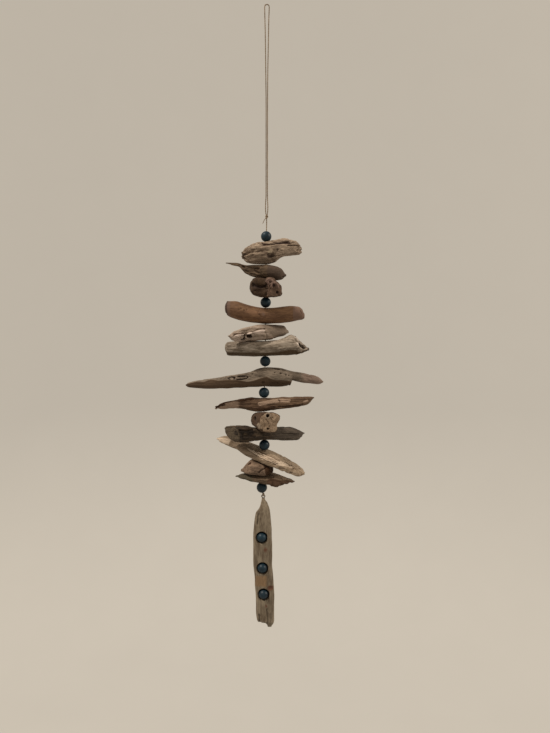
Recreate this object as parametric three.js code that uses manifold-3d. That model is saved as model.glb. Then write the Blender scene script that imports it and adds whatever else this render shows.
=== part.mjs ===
// A hanging mobile: weathered driftwood sticks and dark blue beads threaded on one hemp cord, with a
// beaded slat hanging from a screw eye at the foot.
//
// Millimetres, +Z up. The origin is the inside of the hanging loop, at its very top, where a nail or
// hook carries the mobile. The sculpture faces -Y, and +X is to the right of someone looking at it.

import * as THREE from 'three';
import { mergeVertices } from 'three/addons/utils/BufferGeometryUtils.js';
import Module from 'manifold-3d';

const wasm = await Module();
wasm.setup();

// ---------------------------------------------------------------------------------------------
// Driving dimensions
// ---------------------------------------------------------------------------------------------

const CORD_DIAMETER = 1.0;
const LOOP_RADIUS = 2.1;              // middle of the cord, where it turns over the nail
const STRAND_SPACING = 1.3;           // the two strands of the loop, where they hang together
const CORD_SIDES = 8;

const BEAD_DIAMETER = 10;
const BORE_DIAMETER = 2.4;            // the hole drilled down through every bead and stick
const INSET_BEAD_DIAMETER = 9;
const RECESS_DIAMETER = 11;
const RECESS_DEPTH = 6.8;

const KNOT_HEIGHT = -201.4;
const KNOT_SIZE = [3.0, 2.8, 4.0];

const EYE_HEIGHT = -466.6;            // middle of the screw eye's ring
const EYE_RADIUS = 1.5;               // middle of its wire
const EYE_WIRE = 0.9;
const EYE_SHIFT = 0;
const SHANK_LENGTH = 9;
const GAP = 0.3;                      // clearance between pieces that touch

const SIDES_ROUND_A_STICK = 16;
const LONGEST_STEP = 12.4;            // between two rings of a stick's skin

// The beads on the cord from the top down: [sideways, height] of each middle.
const BEADS_ON_CORD = [
  [0.9, -220.0],
  [0.9, -282.6],
  [0.9, -338.5],
  [0.0, -368.3],
  [0.7, -418.0],
  [-1.4, -458.4],
];

// The beads let into the slat: [sideways, height] of each middle.
const BEADS_IN_SLAT = [
  [-1.2, -504.8],
  [-0.3, -533.7],
  [1.0, -558.4],
];

// ---------------------------------------------------------------------------------------------
// Solids: closed meshes, joined and cut
// ---------------------------------------------------------------------------------------------

function solidOf(geometry) {
  const bare = geometry.clone();
  bare.deleteAttribute('normal');
  bare.deleteAttribute('uv');
  const merged = mergeVertices(bare, 1e-4);
  const vertProperties = new Float32Array(merged.attributes.position.array);
  const triVerts = new Uint32Array(merged.index.array);
  return new wasm.Manifold(new wasm.Mesh({ numProp: 3, vertProperties, triVerts }));
}

function geometryOf(solid) {
  const mesh = solid.getMesh();
  const geometry = new THREE.BufferGeometry();
  geometry.setAttribute('position', new THREE.BufferAttribute(new Float32Array(mesh.vertProperties), 3));
  geometry.setIndex(new THREE.BufferAttribute(new Uint32Array(mesh.triVerts), 1));
  geometry.computeVertexNormals();
  return geometry;
}

// An upright round bar, used as a drill. Its middle is at (x, y, z).
function uprightBar(diameter, length, x, y, z, sides = 10) {
  const bar = new THREE.CylinderGeometry(diameter / 2, diameter / 2, length, sides);
  bar.rotateX(Math.PI / 2);
  bar.translate(x, y, z);
  return bar;
}

// ---------------------------------------------------------------------------------------------
// Driftwood: a stick is a skin carried along a row of stations
// ---------------------------------------------------------------------------------------------
//
// A station is [along, top, bottom, front, back]. Top and bottom are heights from the middle line of
// the stick, front and back are how far it reaches towards the viewer and away. Between stations each
// of the four runs on a smooth curve that never overshoots them. The section at a station is a squared
// ellipse: corners is 2 for a plain ellipse and 4 for a board with round edges. Pitch tilts it, as a
// rise for each millimetre towards the back. Marks raise or sink the skin round one spot, and each end
// can be cut at a slant, skewed from front to back, or torn. What shifts an end fades out along it.

// The slope of that curve at a station: the two neighbouring slopes' weighted harmonic mean, or level
// where the row turns back.
function slopeAt(stations, column, i) {
  if (i === 0 || i === stations.length - 1) return 0;
  const before = stations[i][0] - stations[i - 1][0];
  const after = stations[i + 1][0] - stations[i][0];
  const rise = (stations[i][column] - stations[i - 1][column]) / before;
  const fall = (stations[i + 1][column] - stations[i][column]) / after;
  if (rise * fall <= 0) return 0;
  return (3 * (before + after)) / ((2 * after + before) / rise + (after + 2 * before) / fall);
}

// One column of the row at any distance along: the cubic through two stations with those slopes.
function readAt(stations, column, along) {
  let i = 0;
  while (i < stations.length - 2 && along > stations[i + 1][0]) i += 1;
  const span = stations[i + 1][0] - stations[i][0];
  const t = THREE.MathUtils.clamp((along - stations[i][0]) / span, 0, 1);
  const h00 = 2 * t ** 3 - 3 * t ** 2 + 1;
  const h10 = t ** 3 - 2 * t ** 2 + t;
  return h00 * stations[i][column] + h10 * span * slopeAt(stations, column, i)
    + (1 - h00) * stations[i + 1][column] + (t ** 3 - t ** 2) * span * slopeAt(stations, column, i + 1);
}

// A mark is { at, angle, length, width, rise }: a bell-shaped bump (rise above 0) or hollow (below 0),
// with its middle at that distance along and that angle round. Angle 0 faces the viewer, 90 is up.
function markedHeight(marks, along, degrees) {
  let height = 0;
  for (const mark of marks) {
    const turn = ((degrees - mark.angle + 540) % 360) - 180;
    const far = ((along - mark.at) / mark.length) ** 2 + (turn / mark.width) ** 2;
    height += mark.rise * Math.exp(-far);
  }
  return height;
}

// The uneven edge that torn fibres leave, by angle round the stick, from -1 to 1.
function tornEdge(angle) {
  return 0.6 * Math.sin(3 * angle + 0.7) + 0.4 * Math.sin(7 * angle + 2.1);
}

// The point of the skin at a distance along and an angle round: [along, towards the back, up].
function skinPoint(shape, along, angle) {
  const { stations, corners = 2.5, marks = [], pitch = 0, leftEnd = {}, rightEnd = {} } = shape;
  const top = readAt(stations, 1, along);
  const bottom = readAt(stations, 2, along);
  const across = Math.cos(angle);
  const up = Math.sin(angle);
  const halfDepth = readAt(stations, across > 0 ? 3 : 4, along);
  const halfHeight = (top - bottom) / 2;
  const sum = Math.abs(across / halfDepth) ** corners + Math.abs(up / halfHeight) ** corners;
  const plain = sum ** (-1 / corners);
  const relief = markedHeight(marks, along, THREE.MathUtils.radToDeg(angle));
  const radius = Math.max(plain + relief, 0.15 * plain);
  const depth = -radius * across;
  const height = radius * up + pitch * depth;
  let shift = 0;
  const ends = [[leftEnd, stations[0][0]], [rightEnd, stations[stations.length - 1][0]]];
  for (const [end, place] of ends) {
    const { slant = 0, skew = 0, torn = 0, fade = 8 } = end;
    const near = Math.exp(-(((along - place) / fade) ** 2));
    const towardsTop = (plain * up) / halfHeight;
    const towardsFront = (plain * across) / halfDepth;
    shift += near * (slant * towardsTop + skew * towardsFront + torn * tornEdge(angle));
  }
  return [along + shift, depth, (top + bottom) / 2 + height];
}

// A ring of the skin falls on every station, and between two that are far apart.
function ringPlaces(stations) {
  const places = [stations[0][0]];
  for (let i = 1; i < stations.length; i += 1) {
    const span = stations[i][0] - stations[i - 1][0];
    const parts = Math.ceil(span / LONGEST_STEP);
    for (let k = 1; k <= parts; k += 1) places.push(stations[i - 1][0] + (span * k) / parts);
  }
  return places;
}

// The skin as a closed mesh in the stick's own lengthwise, crosswise and upright directions.
function stickGeometry(shape) {
  const sides = SIDES_ROUND_A_STICK;
  const rings = ringPlaces(shape.stations);
  const steps = rings.length - 1;
  const positions = [];
  const triangles = [];
  for (const along of rings) {
    for (let j = 0; j < sides; j += 1) {
      positions.push(...skinPoint(shape, along, (2 * Math.PI * j) / sides));
    }
  }
  for (let i = 0; i < steps; i += 1) {
    for (let j = 0; j < sides; j += 1) {
      const a = i * sides + j;
      const b = i * sides + ((j + 1) % sides);
      triangles.push(a, a + sides, b, b, a + sides, b + sides);
    }
  }
  for (const ring of [0, steps]) {
    const hub = positions.length / 3;
    const middle = [0, 0, 0];
    for (let j = 0; j < sides; j += 1) {
      for (let k = 0; k < 3; k += 1) middle[k] += positions[(ring * sides + j) * 3 + k] / sides;
    }
    positions.push(...middle);
    for (let j = 0; j < sides; j += 1) {
      const a = ring * sides + j;
      const b = ring * sides + ((j + 1) % sides);
      if (ring === 0) triangles.push(hub, a, b);
      else triangles.push(hub, b, a);
    }
  }
  const geometry = new THREE.BufferGeometry();
  geometry.setAttribute('position', new THREE.BufferAttribute(new Float32Array(positions), 3));
  geometry.setIndex(triangles);
  return geometry;
}

// A mesh made of positions alone can be inside out: its signed volume says so.
function facingOut(geometry) {
  const p = geometry.attributes.position;
  const index = geometry.index.array;
  const corner = [new THREE.Vector3(), new THREE.Vector3(), new THREE.Vector3()];
  let volume = 0;
  for (let i = 0; i < index.length; i += 3) {
    for (let k = 0; k < 3; k += 1) corner[k].fromBufferAttribute(p, index[i + k]);
    volume += corner[0].dot(corner[1].clone().cross(corner[2]));
  }
  if (volume > 0) return geometry;
  for (let i = 0; i < index.length; i += 3) [index[i + 1], index[i + 2]] = [index[i + 2], index[i + 1]];
  return geometry;
}

// ---------------------------------------------------------------------------------------------
// The sticks, from the top down
// ---------------------------------------------------------------------------------------------
//
// x and height place the middle line over the bore. yaw turns the stick: its right end goes away
// from the viewer when yaw is positive. A yaw near -90 points the right end at the viewer, and then
// front is the stick's left side and back its right side.

const STICKS = [
  {
    name: 'gnarled_root', colour: 0x8a705a, x: 0.9, height: -236, yaw: 8, corners: 2.7,
    stations: [
      [-22.5, 0.5, -6.4, 3.0, 3.0],
      [-18.5, 4.4, -9.4, 6.0, 6.0],
      [-10, 9.2, -10.2, 9.0, 8.0],
      [0, 10.7, -10.2, 10.0, 9.0],
      [8, 13.6, -8.0, 9.5, 9.0],
      [17, 15.4, -2.4, 8.5, 8.0],
      [26, 13.4, -0.8, 7.5, 7.0],
      [31.4, 9.8, 0.0, 5.4, 5.4],
      [33.6, 7.4, 1.6, 3.0, 3.0],
    ],
    marks: [
      { at: 15, angle: 60, length: 10, width: 16, rise: -2.4 },
      { at: 5.5, angle: -14, length: 3.5, width: 20, rise: -2.6 },
      { at: -20, angle: 12, length: 8, width: 12, rise: -1.6 },
      { at: -18, angle: -38, length: 10, width: 12, rise: -1.6 },
      { at: -4, angle: -60, length: 9, width: 16, rise: -1.8 },
    ],
    leftEnd: { torn: 1.4 },
    rightEnd: { torn: 1.0 },
  },
  {
    name: 'beaked_sliver', colour: 0x66543f, x: 0.9, height: -253, yaw: -10, corners: 2.35,
    stations: [
      [-39, 9.2, 8.2, 0.6, 0.6],
      [-33, 8.9, 6.6, 1.4, 1.4],
      [-27, 8.5, 5.2, 2.6, 2.4],
      [-20, 6.6, -1.6, 5.0, 4.5],
      [-12, 6.0, -5.4, 7.0, 6.0],
      [0, 6.0, -7.6, 9.0, 8.0],
      [9, 4.6, -8.8, 8.5, 8.0],
      [15, 1.8, -8.2, 6.0, 6.0],
      [19.2, -3.2, -5.2, 1.5, 1.5],
    ],
    marks: [
      { at: -17, angle: 18, length: 9, width: 14, rise: -1.4 },
      { at: -10, angle: -14, length: 9, width: 12, rise: -1.2 },
    ],
  },
  {
    name: 'knotty_stub', colour: 0x5c432f, x: 0.9, height: -269, yaw: -82, corners: 2.7,
    stations: [
      [-19, 4.0, -4.4, 6.0, 7.0],
      [-13, 7.2, -6.4, 11.0, 11.0],
      [0, 7.7, -8.2, 15.0, 13.0],
      [10, 7.8, -9.6, 15.8, 13.2],
      [15, 7.6, -10.2, 12.5, 12.8],
      [17.5, 7.0, -10.4, 4.5, 12.6],
      [20, 5.6, -10.4, 2.0, 12.0],
    ],
    marks: [
      { at: 11, angle: 8, length: 10, width: 12, rise: -1.0 },
      { at: 9, angle: 32, length: 12, width: 14, rise: 2.4 },
      { at: 12, angle: 68, length: 7, width: 16, rise: -1.2 },
      { at: 16, angle: 150, length: 12, width: 18, rise: -2.2 },
      { at: 16, angle: 214, length: 12, width: 17, rise: 2.4 },
    ],
    rightEnd: { torn: 0.7 },
  },
  {
    name: 'peeled_branch', colour: 0x7d5a40, x: 0.9, height: -294.5, yaw: -6, corners: 2.1,
    stations: [
      [-38.2, 11.0, 1.8, 6.0, 6.0],
      [-36.6, 13.4, -0.6, 8.0, 8.0],
      [-30, 13.4, -3.6, 8.7, 8.7],
      [-20, 10.6, -5.9, 9.0, 9.0],
      [-8, 7.7, -7.8, 9.0, 9.0],
      [0, 6.6, -8.4, 9.0, 9.0],
      [12, 7.2, -8.0, 9.0, 9.0],
      [24, 8.3, -6.4, 8.6, 8.6],
      [31, 8.0, -5.2, 7.6, 7.6],
      [34.8, 5.4, -4.6, 6.0, 6.0],
      [36.6, 1.6, -3.6, 4.0, 4.0],
    ],
    marks: [
      { at: 0, angle: 48, length: 4, width: 14, rise: -0.8 },
    ],
  },
  {
    name: 'wormed_chunk', colour: 0x8b7864, x: 0.9, height: -311, yaw: 22, corners: 2.35,
    stations: [
      [-37, -3.6, -5.4, 1.5, 1.5],
      [-33, -1.0, -8.4, 4.0, 4.0],
      [-26, 2.0, -9.3, 6.0, 6.0],
      [-16, 5.2, -8.4, 8.0, 8.0],
      [-5, 7.2, -8.0, 9.0, 8.5],
      [3, 7.5, -7.4, 9.0, 8.5],
      [11, 7.3, -4.6, 8.5, 8.5],
      [18, 7.0, -3.0, 7.0, 7.5],
      [23, 3.0, -0.5, 3.0, 3.5],
    ],
    marks: [
      { at: -19, angle: 30, length: 12, width: 13, rise: -1.8 },
      { at: -18, angle: -18, length: 3, width: 16, rise: -2.4 },
      { at: -23, angle: -55, length: 3, width: 16, rise: -2.0 },
      { at: 16, angle: 20, length: 7, width: 30, rise: -1.6 },
    ],
  },
  {
    name: 'split_log', colour: 0x7c6a55, x: 0.9, height: -325, yaw: -4, corners: 2.35,
    stations: [
      [-37.6, 3.0, -4.4, 6.0, 6.0],
      [-36, 4.8, -7.6, 8.0, 8.0],
      [-30, 5.6, -8.6, 9.0, 9.0],
      [-15, 5.9, -8.9, 10.0, 9.5],
      [0, 5.9, -8.5, 10.0, 9.5],
      [11, 6.6, -8.2, 10.0, 9.5],
      [18, 9.0, -7.9, 9.5, 9.0],
      [24.5, 11.9, -7.4, 9.0, 9.0],
      [28, 10.0, -7.0, 8.6, 8.8],
      [33, 5.2, -6.2, 7.5, 8.0],
      [38, 1.4, -4.2, 5.0, 6.0],
      [40.4, -1.0, -2.4, 1.5, 2.0],
    ],
    marks: [
      { at: 34, angle: 24, length: 4, width: 22, rise: -3.2 },
      { at: 30, angle: 62, length: 4, width: 18, rise: 1.4 },
    ],
    rightEnd: { torn: 1.6 },
  },
  {
    name: 'long_spindle', colour: 0x86725b, x: 0.5, height: -353.5, yaw: 5, corners: 2.35,
    stations: [
      [-73.8, -7.2, -8.8, 1.4, 1.4],
      [-72.2, -5.8, -9.8, 2.6, 2.6],
      [-68.5, -4.6, -10.4, 3.4, 3.4],
      [-50, -1.5, -11.2, 5.0, 5.0],
      [-30, 1.9, -10.6, 6.0, 6.0],
      [-14, 4.8, -9.8, 6.5, 6.5],
      [-6, 8.0, -9.4, 7.0, 7.0],
      [0, 9.4, -9.0, 7.0, 7.0],
      [12, 9.1, -9.2, 7.0, 7.0],
      [24.6, 6.2, -7.6, 6.0, 6.0],
      [25.8, 5.9, -3.0, 5.4, 5.4],
      [38, 3.8, -5.4, 5.0, 5.0],
      [46, 2.2, -6.0, 4.6, 4.6],
      [51.5, 0.2, -6.3, 4.0, 4.0],
      [55.2, -2.4, -5.4, 2.6, 2.6],
      [56.4, -3.6, -4.6, 1.4, 1.4],
    ],
    marks: [
      { at: -27, angle: 40, length: 9, width: 14, rise: -0.9 },
      { at: 10, angle: -50, length: 9, width: 14, rise: -1.2 },
    ],
  },
  {
    name: 'bark_blade', colour: 0x70563f, x: 0, height: -379.5, yaw: -7, corners: 2.7,
    stations: [
      [-46.5, -2.6, -5.0, 1.5, 1.5],
      [-40, 1.2, -5.2, 3.0, 3.0],
      [-30, 3.4, -4.0, 4.5, 4.5],
      [-20, 5.2, -4.6, 5.0, 5.0],
      [-11, 6.4, -6.6, 5.5, 5.5],
      [-3, 6.0, -7.0, 5.5, 5.5],
      [5, 6.3, -5.8, 5.5, 5.5],
      [16, 7.2, -3.9, 5.2, 5.2],
      [30, 7.6, -2.4, 4.8, 4.8],
      [40, 8.1, 0.0, 3.8, 3.8],
      [44, 8.2, 2.6, 2.6, 2.6],
      [47.2, 7.7, 6.6, 0.8, 0.8],
    ],
    marks: [
      { at: 17, angle: 12, length: 12, width: 22, rise: -0.7 },
    ],
    leftEnd: { torn: 1.2 },
  },
  {
    name: 'bored_end_grain_block', colour: 0x927456, x: 0.1, height: -394.5, yaw: -75, corners: 2.8,
    stations: [
      [-16, 4.0, -4.0, 6.0, 6.0],
      [-11, 6.6, -6.4, 10.0, 8.0],
      [0, 7.8, -7.4, 12.0, 9.0],
      [12, 8.4, -8.4, 12.2, 9.0],
      [22, 9.2, -9.0, 12.2, 9.0],
      [27, 9.2, -8.6, 10.8, 7.8],
    ],
    marks: [
      { at: 12, angle: 6, length: 8, width: 22, rise: -1.8 },
      { at: 24, angle: 146, length: 10, width: 14, rise: 1.0 },
      { at: 24, angle: 204, length: 10, width: 26, rise: -2.2 },
    ],
    rightEnd: { torn: 0.5 },
    burrows: [
      { x: 4.0, height: -388.0, diameter: 2.8, depth: 9 },
      { x: 4.6, height: -399.8, diameter: 2.0, depth: 6 },
    ],
  },
  {
    name: 'dark_stick', colour: 0x4b3f33, x: 0.3, height: -406.3, yaw: 12, corners: 2.9,
    stations: [
      [-30.8, 6.6, -6.8, 7.0, 7.0],
      [-28, 7.2, -8.4, 8.0, 8.0],
      [-19, 6.9, -8.8, 8.5, 8.5],
      [-8, 4.8, -7.4, 8.5, 8.5],
      [0, 3.8, -6.4, 8.5, 8.5],
      [10, 4.9, -6.9, 8.2, 8.2],
      [24, 5.2, -7.8, 7.5, 7.5],
      [31, 3.4, -8.0, 6.0, 6.0],
      [36, 1.0, -5.0, 4.0, 4.0],
      [39.5, -0.8, -1.8, 1.2, 1.2],
    ],
    marks: [
      { at: -14, angle: 12, length: 9, width: 14, rise: -1.2 },
      { at: 20, angle: -10, length: 12, width: 12, rise: -0.8 },
    ],
    leftEnd: { skew: 5.2, slant: -2.2, fade: 6 },
  },
  {
    name: 'slanting_batten', colour: 0xb09878, x: 0.5, height: -430, yaw: -25, corners: 3.3, pitch: 0.3,
    stations: [
      [-52, 15.4, 14.4, 1.0, 1.0],
      [-46, 16.8, 12.6, 4.5, 4.5],
      [-36, 16.0, 10.2, 6.5, 6.5],
      [-26, 14.2, 7.0, 7.0, 7.0],
      [-20, 12.4, 4.2, 7.4, 7.4],
      [-10, 9.4, 0.0, 8.0, 8.0],
      [0, 6.4, -3.0, 8.0, 8.0],
      [10, 3.2, -5.8, 8.0, 8.0],
      [22, -1.4, -9.0, 7.5, 7.5],
      [32, -5.8, -11.8, 6.5, 6.5],
      [38, -9.0, -13.0, 4.8, 4.8],
      [41, -10.8, -12.6, 2.4, 2.4],
    ],
    marks: [
      { at: 30, angle: 40, length: 8, width: 16, rise: -0.8 },
    ],
    rightEnd: { torn: 0.6 },
  },
  {
    name: 'wedge_stub', colour: 0x85684c, x: -0.4, height: -440, yaw: -5, corners: 2.5, pitch: 0.2,
    stations: [
      [-20.5, -1.6, -3.4, 2.0, 2.0],
      [-16, 3.2, -4.8, 7.0, 6.0],
      [-11, 7.6, -5.2, 10.0, 8.0],
      [-6, 7.4, -5.2, 11.0, 9.0],
      [0, 5.6, -5.2, 11.0, 9.0],
      [6, 3.4, -4.8, 9.0, 8.0],
      [9, 1.0, -3.2, 4.0, 4.0],
    ],
    marks: [
      { at: 1, angle: 14, length: 3, width: 30, rise: -0.9 },
    ],
  },
  {
    name: 'jagged_bark', colour: 0x5a4a38, x: -1.0, height: -450, yaw: -8, corners: 2.9, pitch: 0.22,
    stations: [
      [-25.3, 1.9, 1.1, 0.8, 0.8],
      [-20, 3.3, 0.2, 4.0, 4.0],
      [-12, 4.0, -0.8, 7.0, 7.0],
      [0, 4.4, -2.6, 8.5, 8.5],
      [8, 4.3, -3.6, 8.5, 8.0],
      [14, 3.4, -6.0, 7.5, 7.0],
      [18, 2.4, -5.4, 6.0, 6.0],
      [22, 1.2, -3.6, 5.0, 5.0],
      [27, 0.2, -2.6, 3.0, 3.0],
      [30.5, -1.2, -1.9, 0.8, 0.8],
    ],
    marks: [
      { at: 12, angle: 10, length: 6, width: 16, rise: -1.2 },
      { at: 19, angle: -30, length: 2.5, width: 24, rise: -1.2 },
    ],
  },
];

// The slat hangs: its stations run down from the screw eye, and are [down, right, left, front, back].
const SLAT = {
  name: 'pendant_slat', colour: 0x82705a, x: 0.2, height: -468.9, corners: 4,
  stations: [
    [0, 1.6, -1.8, 2.2, 2.2],
    [4, 3.6, -2.4, 3.2, 3.2],
    [8.5, 5.4, -3.6, 4.2, 4.2],
    [14, 6.7, -7.2, 4.8, 4.8],
    [24, 7.5, -8.6, 5.0, 5.0],
    [36, 8.3, -9.4, 5.0, 5.0],
    [58, 8.7, -9.3, 5.0, 5.0],
    [82, 10.2, -7.4, 5.0, 5.0],
    [98, 11.1, -6.5, 5.0, 5.0],
    [110, 11.0, -6.0, 5.0, 5.0],
    [115.6, 10.9, -4.8, 4.8, 4.8],
    [116.8, 10.6, 1.8, 4.2, 4.2],
    [120.8, 8.6, 4.8, 2.6, 2.6],
  ],
};

// ---------------------------------------------------------------------------------------------
// Pieces
// ---------------------------------------------------------------------------------------------

const mobile = new THREE.Group();

function addPiece(name, geometry, colour, roughness) {
  const material = new THREE.MeshStandardMaterial({ color: colour, roughness, metalness: 0 });
  const mesh = new THREE.Mesh(geometry, material);
  mesh.name = name;
  mobile.add(mesh);
  return mesh;
}

// Each stick is turned on its bore, drilled upright for the cord, and bored by worms where it was.
function addStick(stick) {
  const skin = facingOut(stickGeometry(stick));
  skin.rotateZ(THREE.MathUtils.degToRad(stick.yaw));
  skin.translate(stick.x, 0, stick.height);
  let solid = solidOf(skin);
  solid = solid.subtract(solidOf(uprightBar(BORE_DIAMETER, 60, stick.x, 0, stick.height)));
  for (const burrow of stick.burrows ?? []) {
    const front = stick.stations[stick.stations.length - 1][0];
    const mouth = burrow.diameter / 2;
    const hole = new THREE.CylinderGeometry(mouth, mouth, 2 * burrow.depth, 8);
    hole.translate(burrow.x, -front, burrow.height);
    solid = solid.subtract(solidOf(hole));
  }
  addPiece(stick.name, geometryOf(solid), stick.colour, 0.85);
}

// A threaded bead: the arc of a ball from one mouth of its bore to the other, spun about the bore.
function threadedBeadGeometry() {
  const radius = BEAD_DIAMETER / 2;
  const mouth = Math.asin(BORE_DIAMETER / BEAD_DIAMETER);
  const profile = [];
  const arcs = 7;
  for (let i = 0; i <= arcs; i += 1) {
    const angle = mouth + ((Math.PI - 2 * mouth) * i) / arcs;
    profile.push(new THREE.Vector2(radius * Math.sin(angle), -radius * Math.cos(angle)));
  }
  profile.push(profile[0].clone());
  const bead = new THREE.LatheGeometry(profile, 12);
  bead.rotateX(Math.PI / 2);
  return bead;
}

function addThreadedBeads() {
  BEADS_ON_CORD.forEach(([x, z], i) => {
    const solid = solidOf(threadedBeadGeometry());
    const bead = addPiece(`cord_bead_${i + 1}`, geometryOf(solid), 0x243f4a, 0.3);
    bead.position.set(x, 0, z);
  });
}

// The slat's flat front stands this far towards the viewer of the cord.
function slatFront() {
  return SLAT.stations[5][3];
}

// A bead rests on the floor of its recess.
function addInsetBeads() {
  const middle = -slatFront() + RECESS_DEPTH - GAP - INSET_BEAD_DIAMETER / 2;
  BEADS_IN_SLAT.forEach(([x, z], i) => {
    const ball = new THREE.SphereGeometry(INSET_BEAD_DIAMETER / 2, 12, 8);
    const bead = addPiece(`slat_bead_${i + 1}`, geometryOf(solidOf(ball)), 0x243f4a, 0.3);
    bead.position.set(x, middle, z);
  });
}

// The slat: its lengthwise direction is turned to point down and its upright direction to the right.
function addSlat() {
  const skin = stickGeometry(SLAT);
  skin.applyMatrix4(new THREE.Matrix4().set(
    0, 0, 1, SLAT.x,
    0, 1, 0, 0,
    -1, 0, 0, SLAT.height,
    0, 0, 0, 1,
  ));
  let solid = solidOf(facingOut(skin));
  for (const [x, z] of BEADS_IN_SLAT) {
    const mouth = RECESS_DIAMETER / 2;
    const recess = new THREE.CylinderGeometry(mouth, mouth, 2 * RECESS_DEPTH, 16);
    recess.translate(x, -slatFront(), z);
    solid = solid.subtract(solidOf(recess));
  }
  const socket = uprightBar(EYE_WIRE + 2 * GAP, 2 * (SHANK_LENGTH + GAP), EYE_SHIFT, 0, SLAT.height, 8);
  solid = solid.subtract(solidOf(socket));
  addPiece(SLAT.name, geometryOf(solid), SLAT.colour, 0.85);
}

// The screw eye: a ring of wire that faces the viewer, on a shank that goes down into the slat.
function addScrewEye() {
  const ring = new THREE.TorusGeometry(EYE_RADIUS, EYE_WIRE / 2, 8, 14);
  ring.rotateX(Math.PI / 2);
  ring.translate(EYE_SHIFT, 0, EYE_HEIGHT);
  const top = EYE_HEIGHT - EYE_RADIUS;
  const bottom = SLAT.height - SHANK_LENGTH;
  const shank = uprightBar(EYE_WIRE, top - bottom, EYE_SHIFT, 0, (top + bottom) / 2, 8);
  addPiece('screw_eye', geometryOf(solidOf(ring).add(solidOf(shank))), 0x4a3a2a, 0.45);
}

// ---------------------------------------------------------------------------------------------
// Cord
// ---------------------------------------------------------------------------------------------

// A curve whose steps fall evenly between its own points, so a tight bend gets as many as a long run.
class EvenlySteppedCurve extends THREE.CatmullRomCurve3 {
  getPointAt(t, target) {
    return this.getPoint(t, target);
  }

  getTangentAt(t, target) {
    return this.getTangent(t, target);
  }
}

function cordGeometry(points, steps) {
  const section = new THREE.Shape();
  for (let i = 0; i < CORD_SIDES; i += 1) {
    const angle = (2 * Math.PI * i) / CORD_SIDES;
    const x = (CORD_DIAMETER / 2) * Math.cos(angle);
    const y = (CORD_DIAMETER / 2) * Math.sin(angle);
    if (i === 0) section.moveTo(x, y);
    else section.lineTo(x, y);
  }
  section.closePath();
  const route = new EvenlySteppedCurve(points.map(([x, y, z]) => new THREE.Vector3(x, y, z)));
  return new THREE.ExtrudeGeometry(section, { steps, extrudePath: route, curveSegments: 1 });
}

// From the tie at the screw eye up through every bead and stick to the knot.
const THREADED_ROUTE = [
  [-1.2, 0, -463.0],
  [-1.4, 0, -458.4],
  [-1.1, 0, -449],
  [-0.2, 0, -440],
  [0.4, 0, -429],
  [0.6, 0, -418],
  [0.3, 0, -406],
  [0.1, 0, -394],
  [0.0, 0, -380],
  [0.1, 0, -368.3],
  [0.5, 0, -353],
  [0.8, 0, -338.5],
  [0.9, 0, -325],
  [0.9, 0, -311],
  [0.9, 0, -294.5],
  [0.9, 0, -282.6],
  [0.9, 0, -269],
  [0.9, 0, -253],
  [0.9, 0, -236],
  [1.0, 0, -220],
  [1.2, 0, -203.8],
];

// From the knot up the left strand, over the top, and down the right strand to the knot again.
function loopRoute() {
  const half = STRAND_SPACING / 2;
  const above = KNOT_HEIGHT + KNOT_SIZE[2] / 2 + GAP;
  const turnHeight = CORD_DIAMETER / 2 - LOOP_RADIUS;
  const strand = [
    [half, 1.2, above],
    [half, 1.1, -180],
    [half, 0.9, -150],
    [half, 0.7, -120],
    [half + 0.05, 0.5, -90],
    [half + 0.3, 0.3, -65],
    [half + 0.65, 0.2, -42],
    [half + 0.95, 0.1, -24],
    [LOOP_RADIUS - 0.2, 0, -12],
    [LOOP_RADIUS, 0, -5],
  ];
  const points = strand.map(([out, middle, z]) => [middle - out, 0, z]);
  const turns = 8;
  for (let i = 0; i <= turns; i += 1) {
    const angle = Math.PI - (Math.PI * i) / turns;
    points.push([LOOP_RADIUS * Math.cos(angle), 0, turnHeight + LOOP_RADIUS * Math.sin(angle)]);
  }
  for (const [out, middle, z] of [...strand].reverse()) points.push([middle + out, 0, z]);
  return points;
}

function addCord() {
  const hemp = 0x8a7152;
  addPiece('cord_threaded', cordGeometry(THREADED_ROUTE, THREADED_ROUTE.length - 1), hemp, 0.9);
  const loop = loopRoute();
  addPiece('cord_loop', cordGeometry(loop, 2 * (loop.length - 1)), hemp, 0.9);
  const knot = new THREE.SphereGeometry(0.5, 10, 6);
  knot.scale(...KNOT_SIZE);
  const knotMesh = addPiece('cord_knot', geometryOf(solidOf(knot)), hemp, 0.9);
  knotMesh.position.set(1.2, 0, KNOT_HEIGHT);
  const tie = new THREE.TorusGeometry(EYE_WIRE / 2 + GAP + CORD_DIAMETER / 2, CORD_DIAMETER / 2, 6, 12);
  tie.rotateY(Math.PI / 2);
  const tieMesh = addPiece('cord_tie', geometryOf(solidOf(tie)), hemp, 0.9);
  tieMesh.position.set(EYE_SHIFT, 0, EYE_HEIGHT + EYE_RADIUS);
}

addCord();
STICKS.forEach(addStick);
addThreadedBeads();
addSlat();
addInsetBeads();
addScrewEye();

export default mobile;
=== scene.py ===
# A hanging mobile: driftwood sticks and dark blue beads threaded on one hemp cord, with a beaded slat
# hanging from a screw eye at its foot. Metres, +Z up. The origin is the top of the hanging loop, inside
# it, and the mobile faces -Y. Sizes of wood and cord are written in mm, as a carver would give them.

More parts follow.
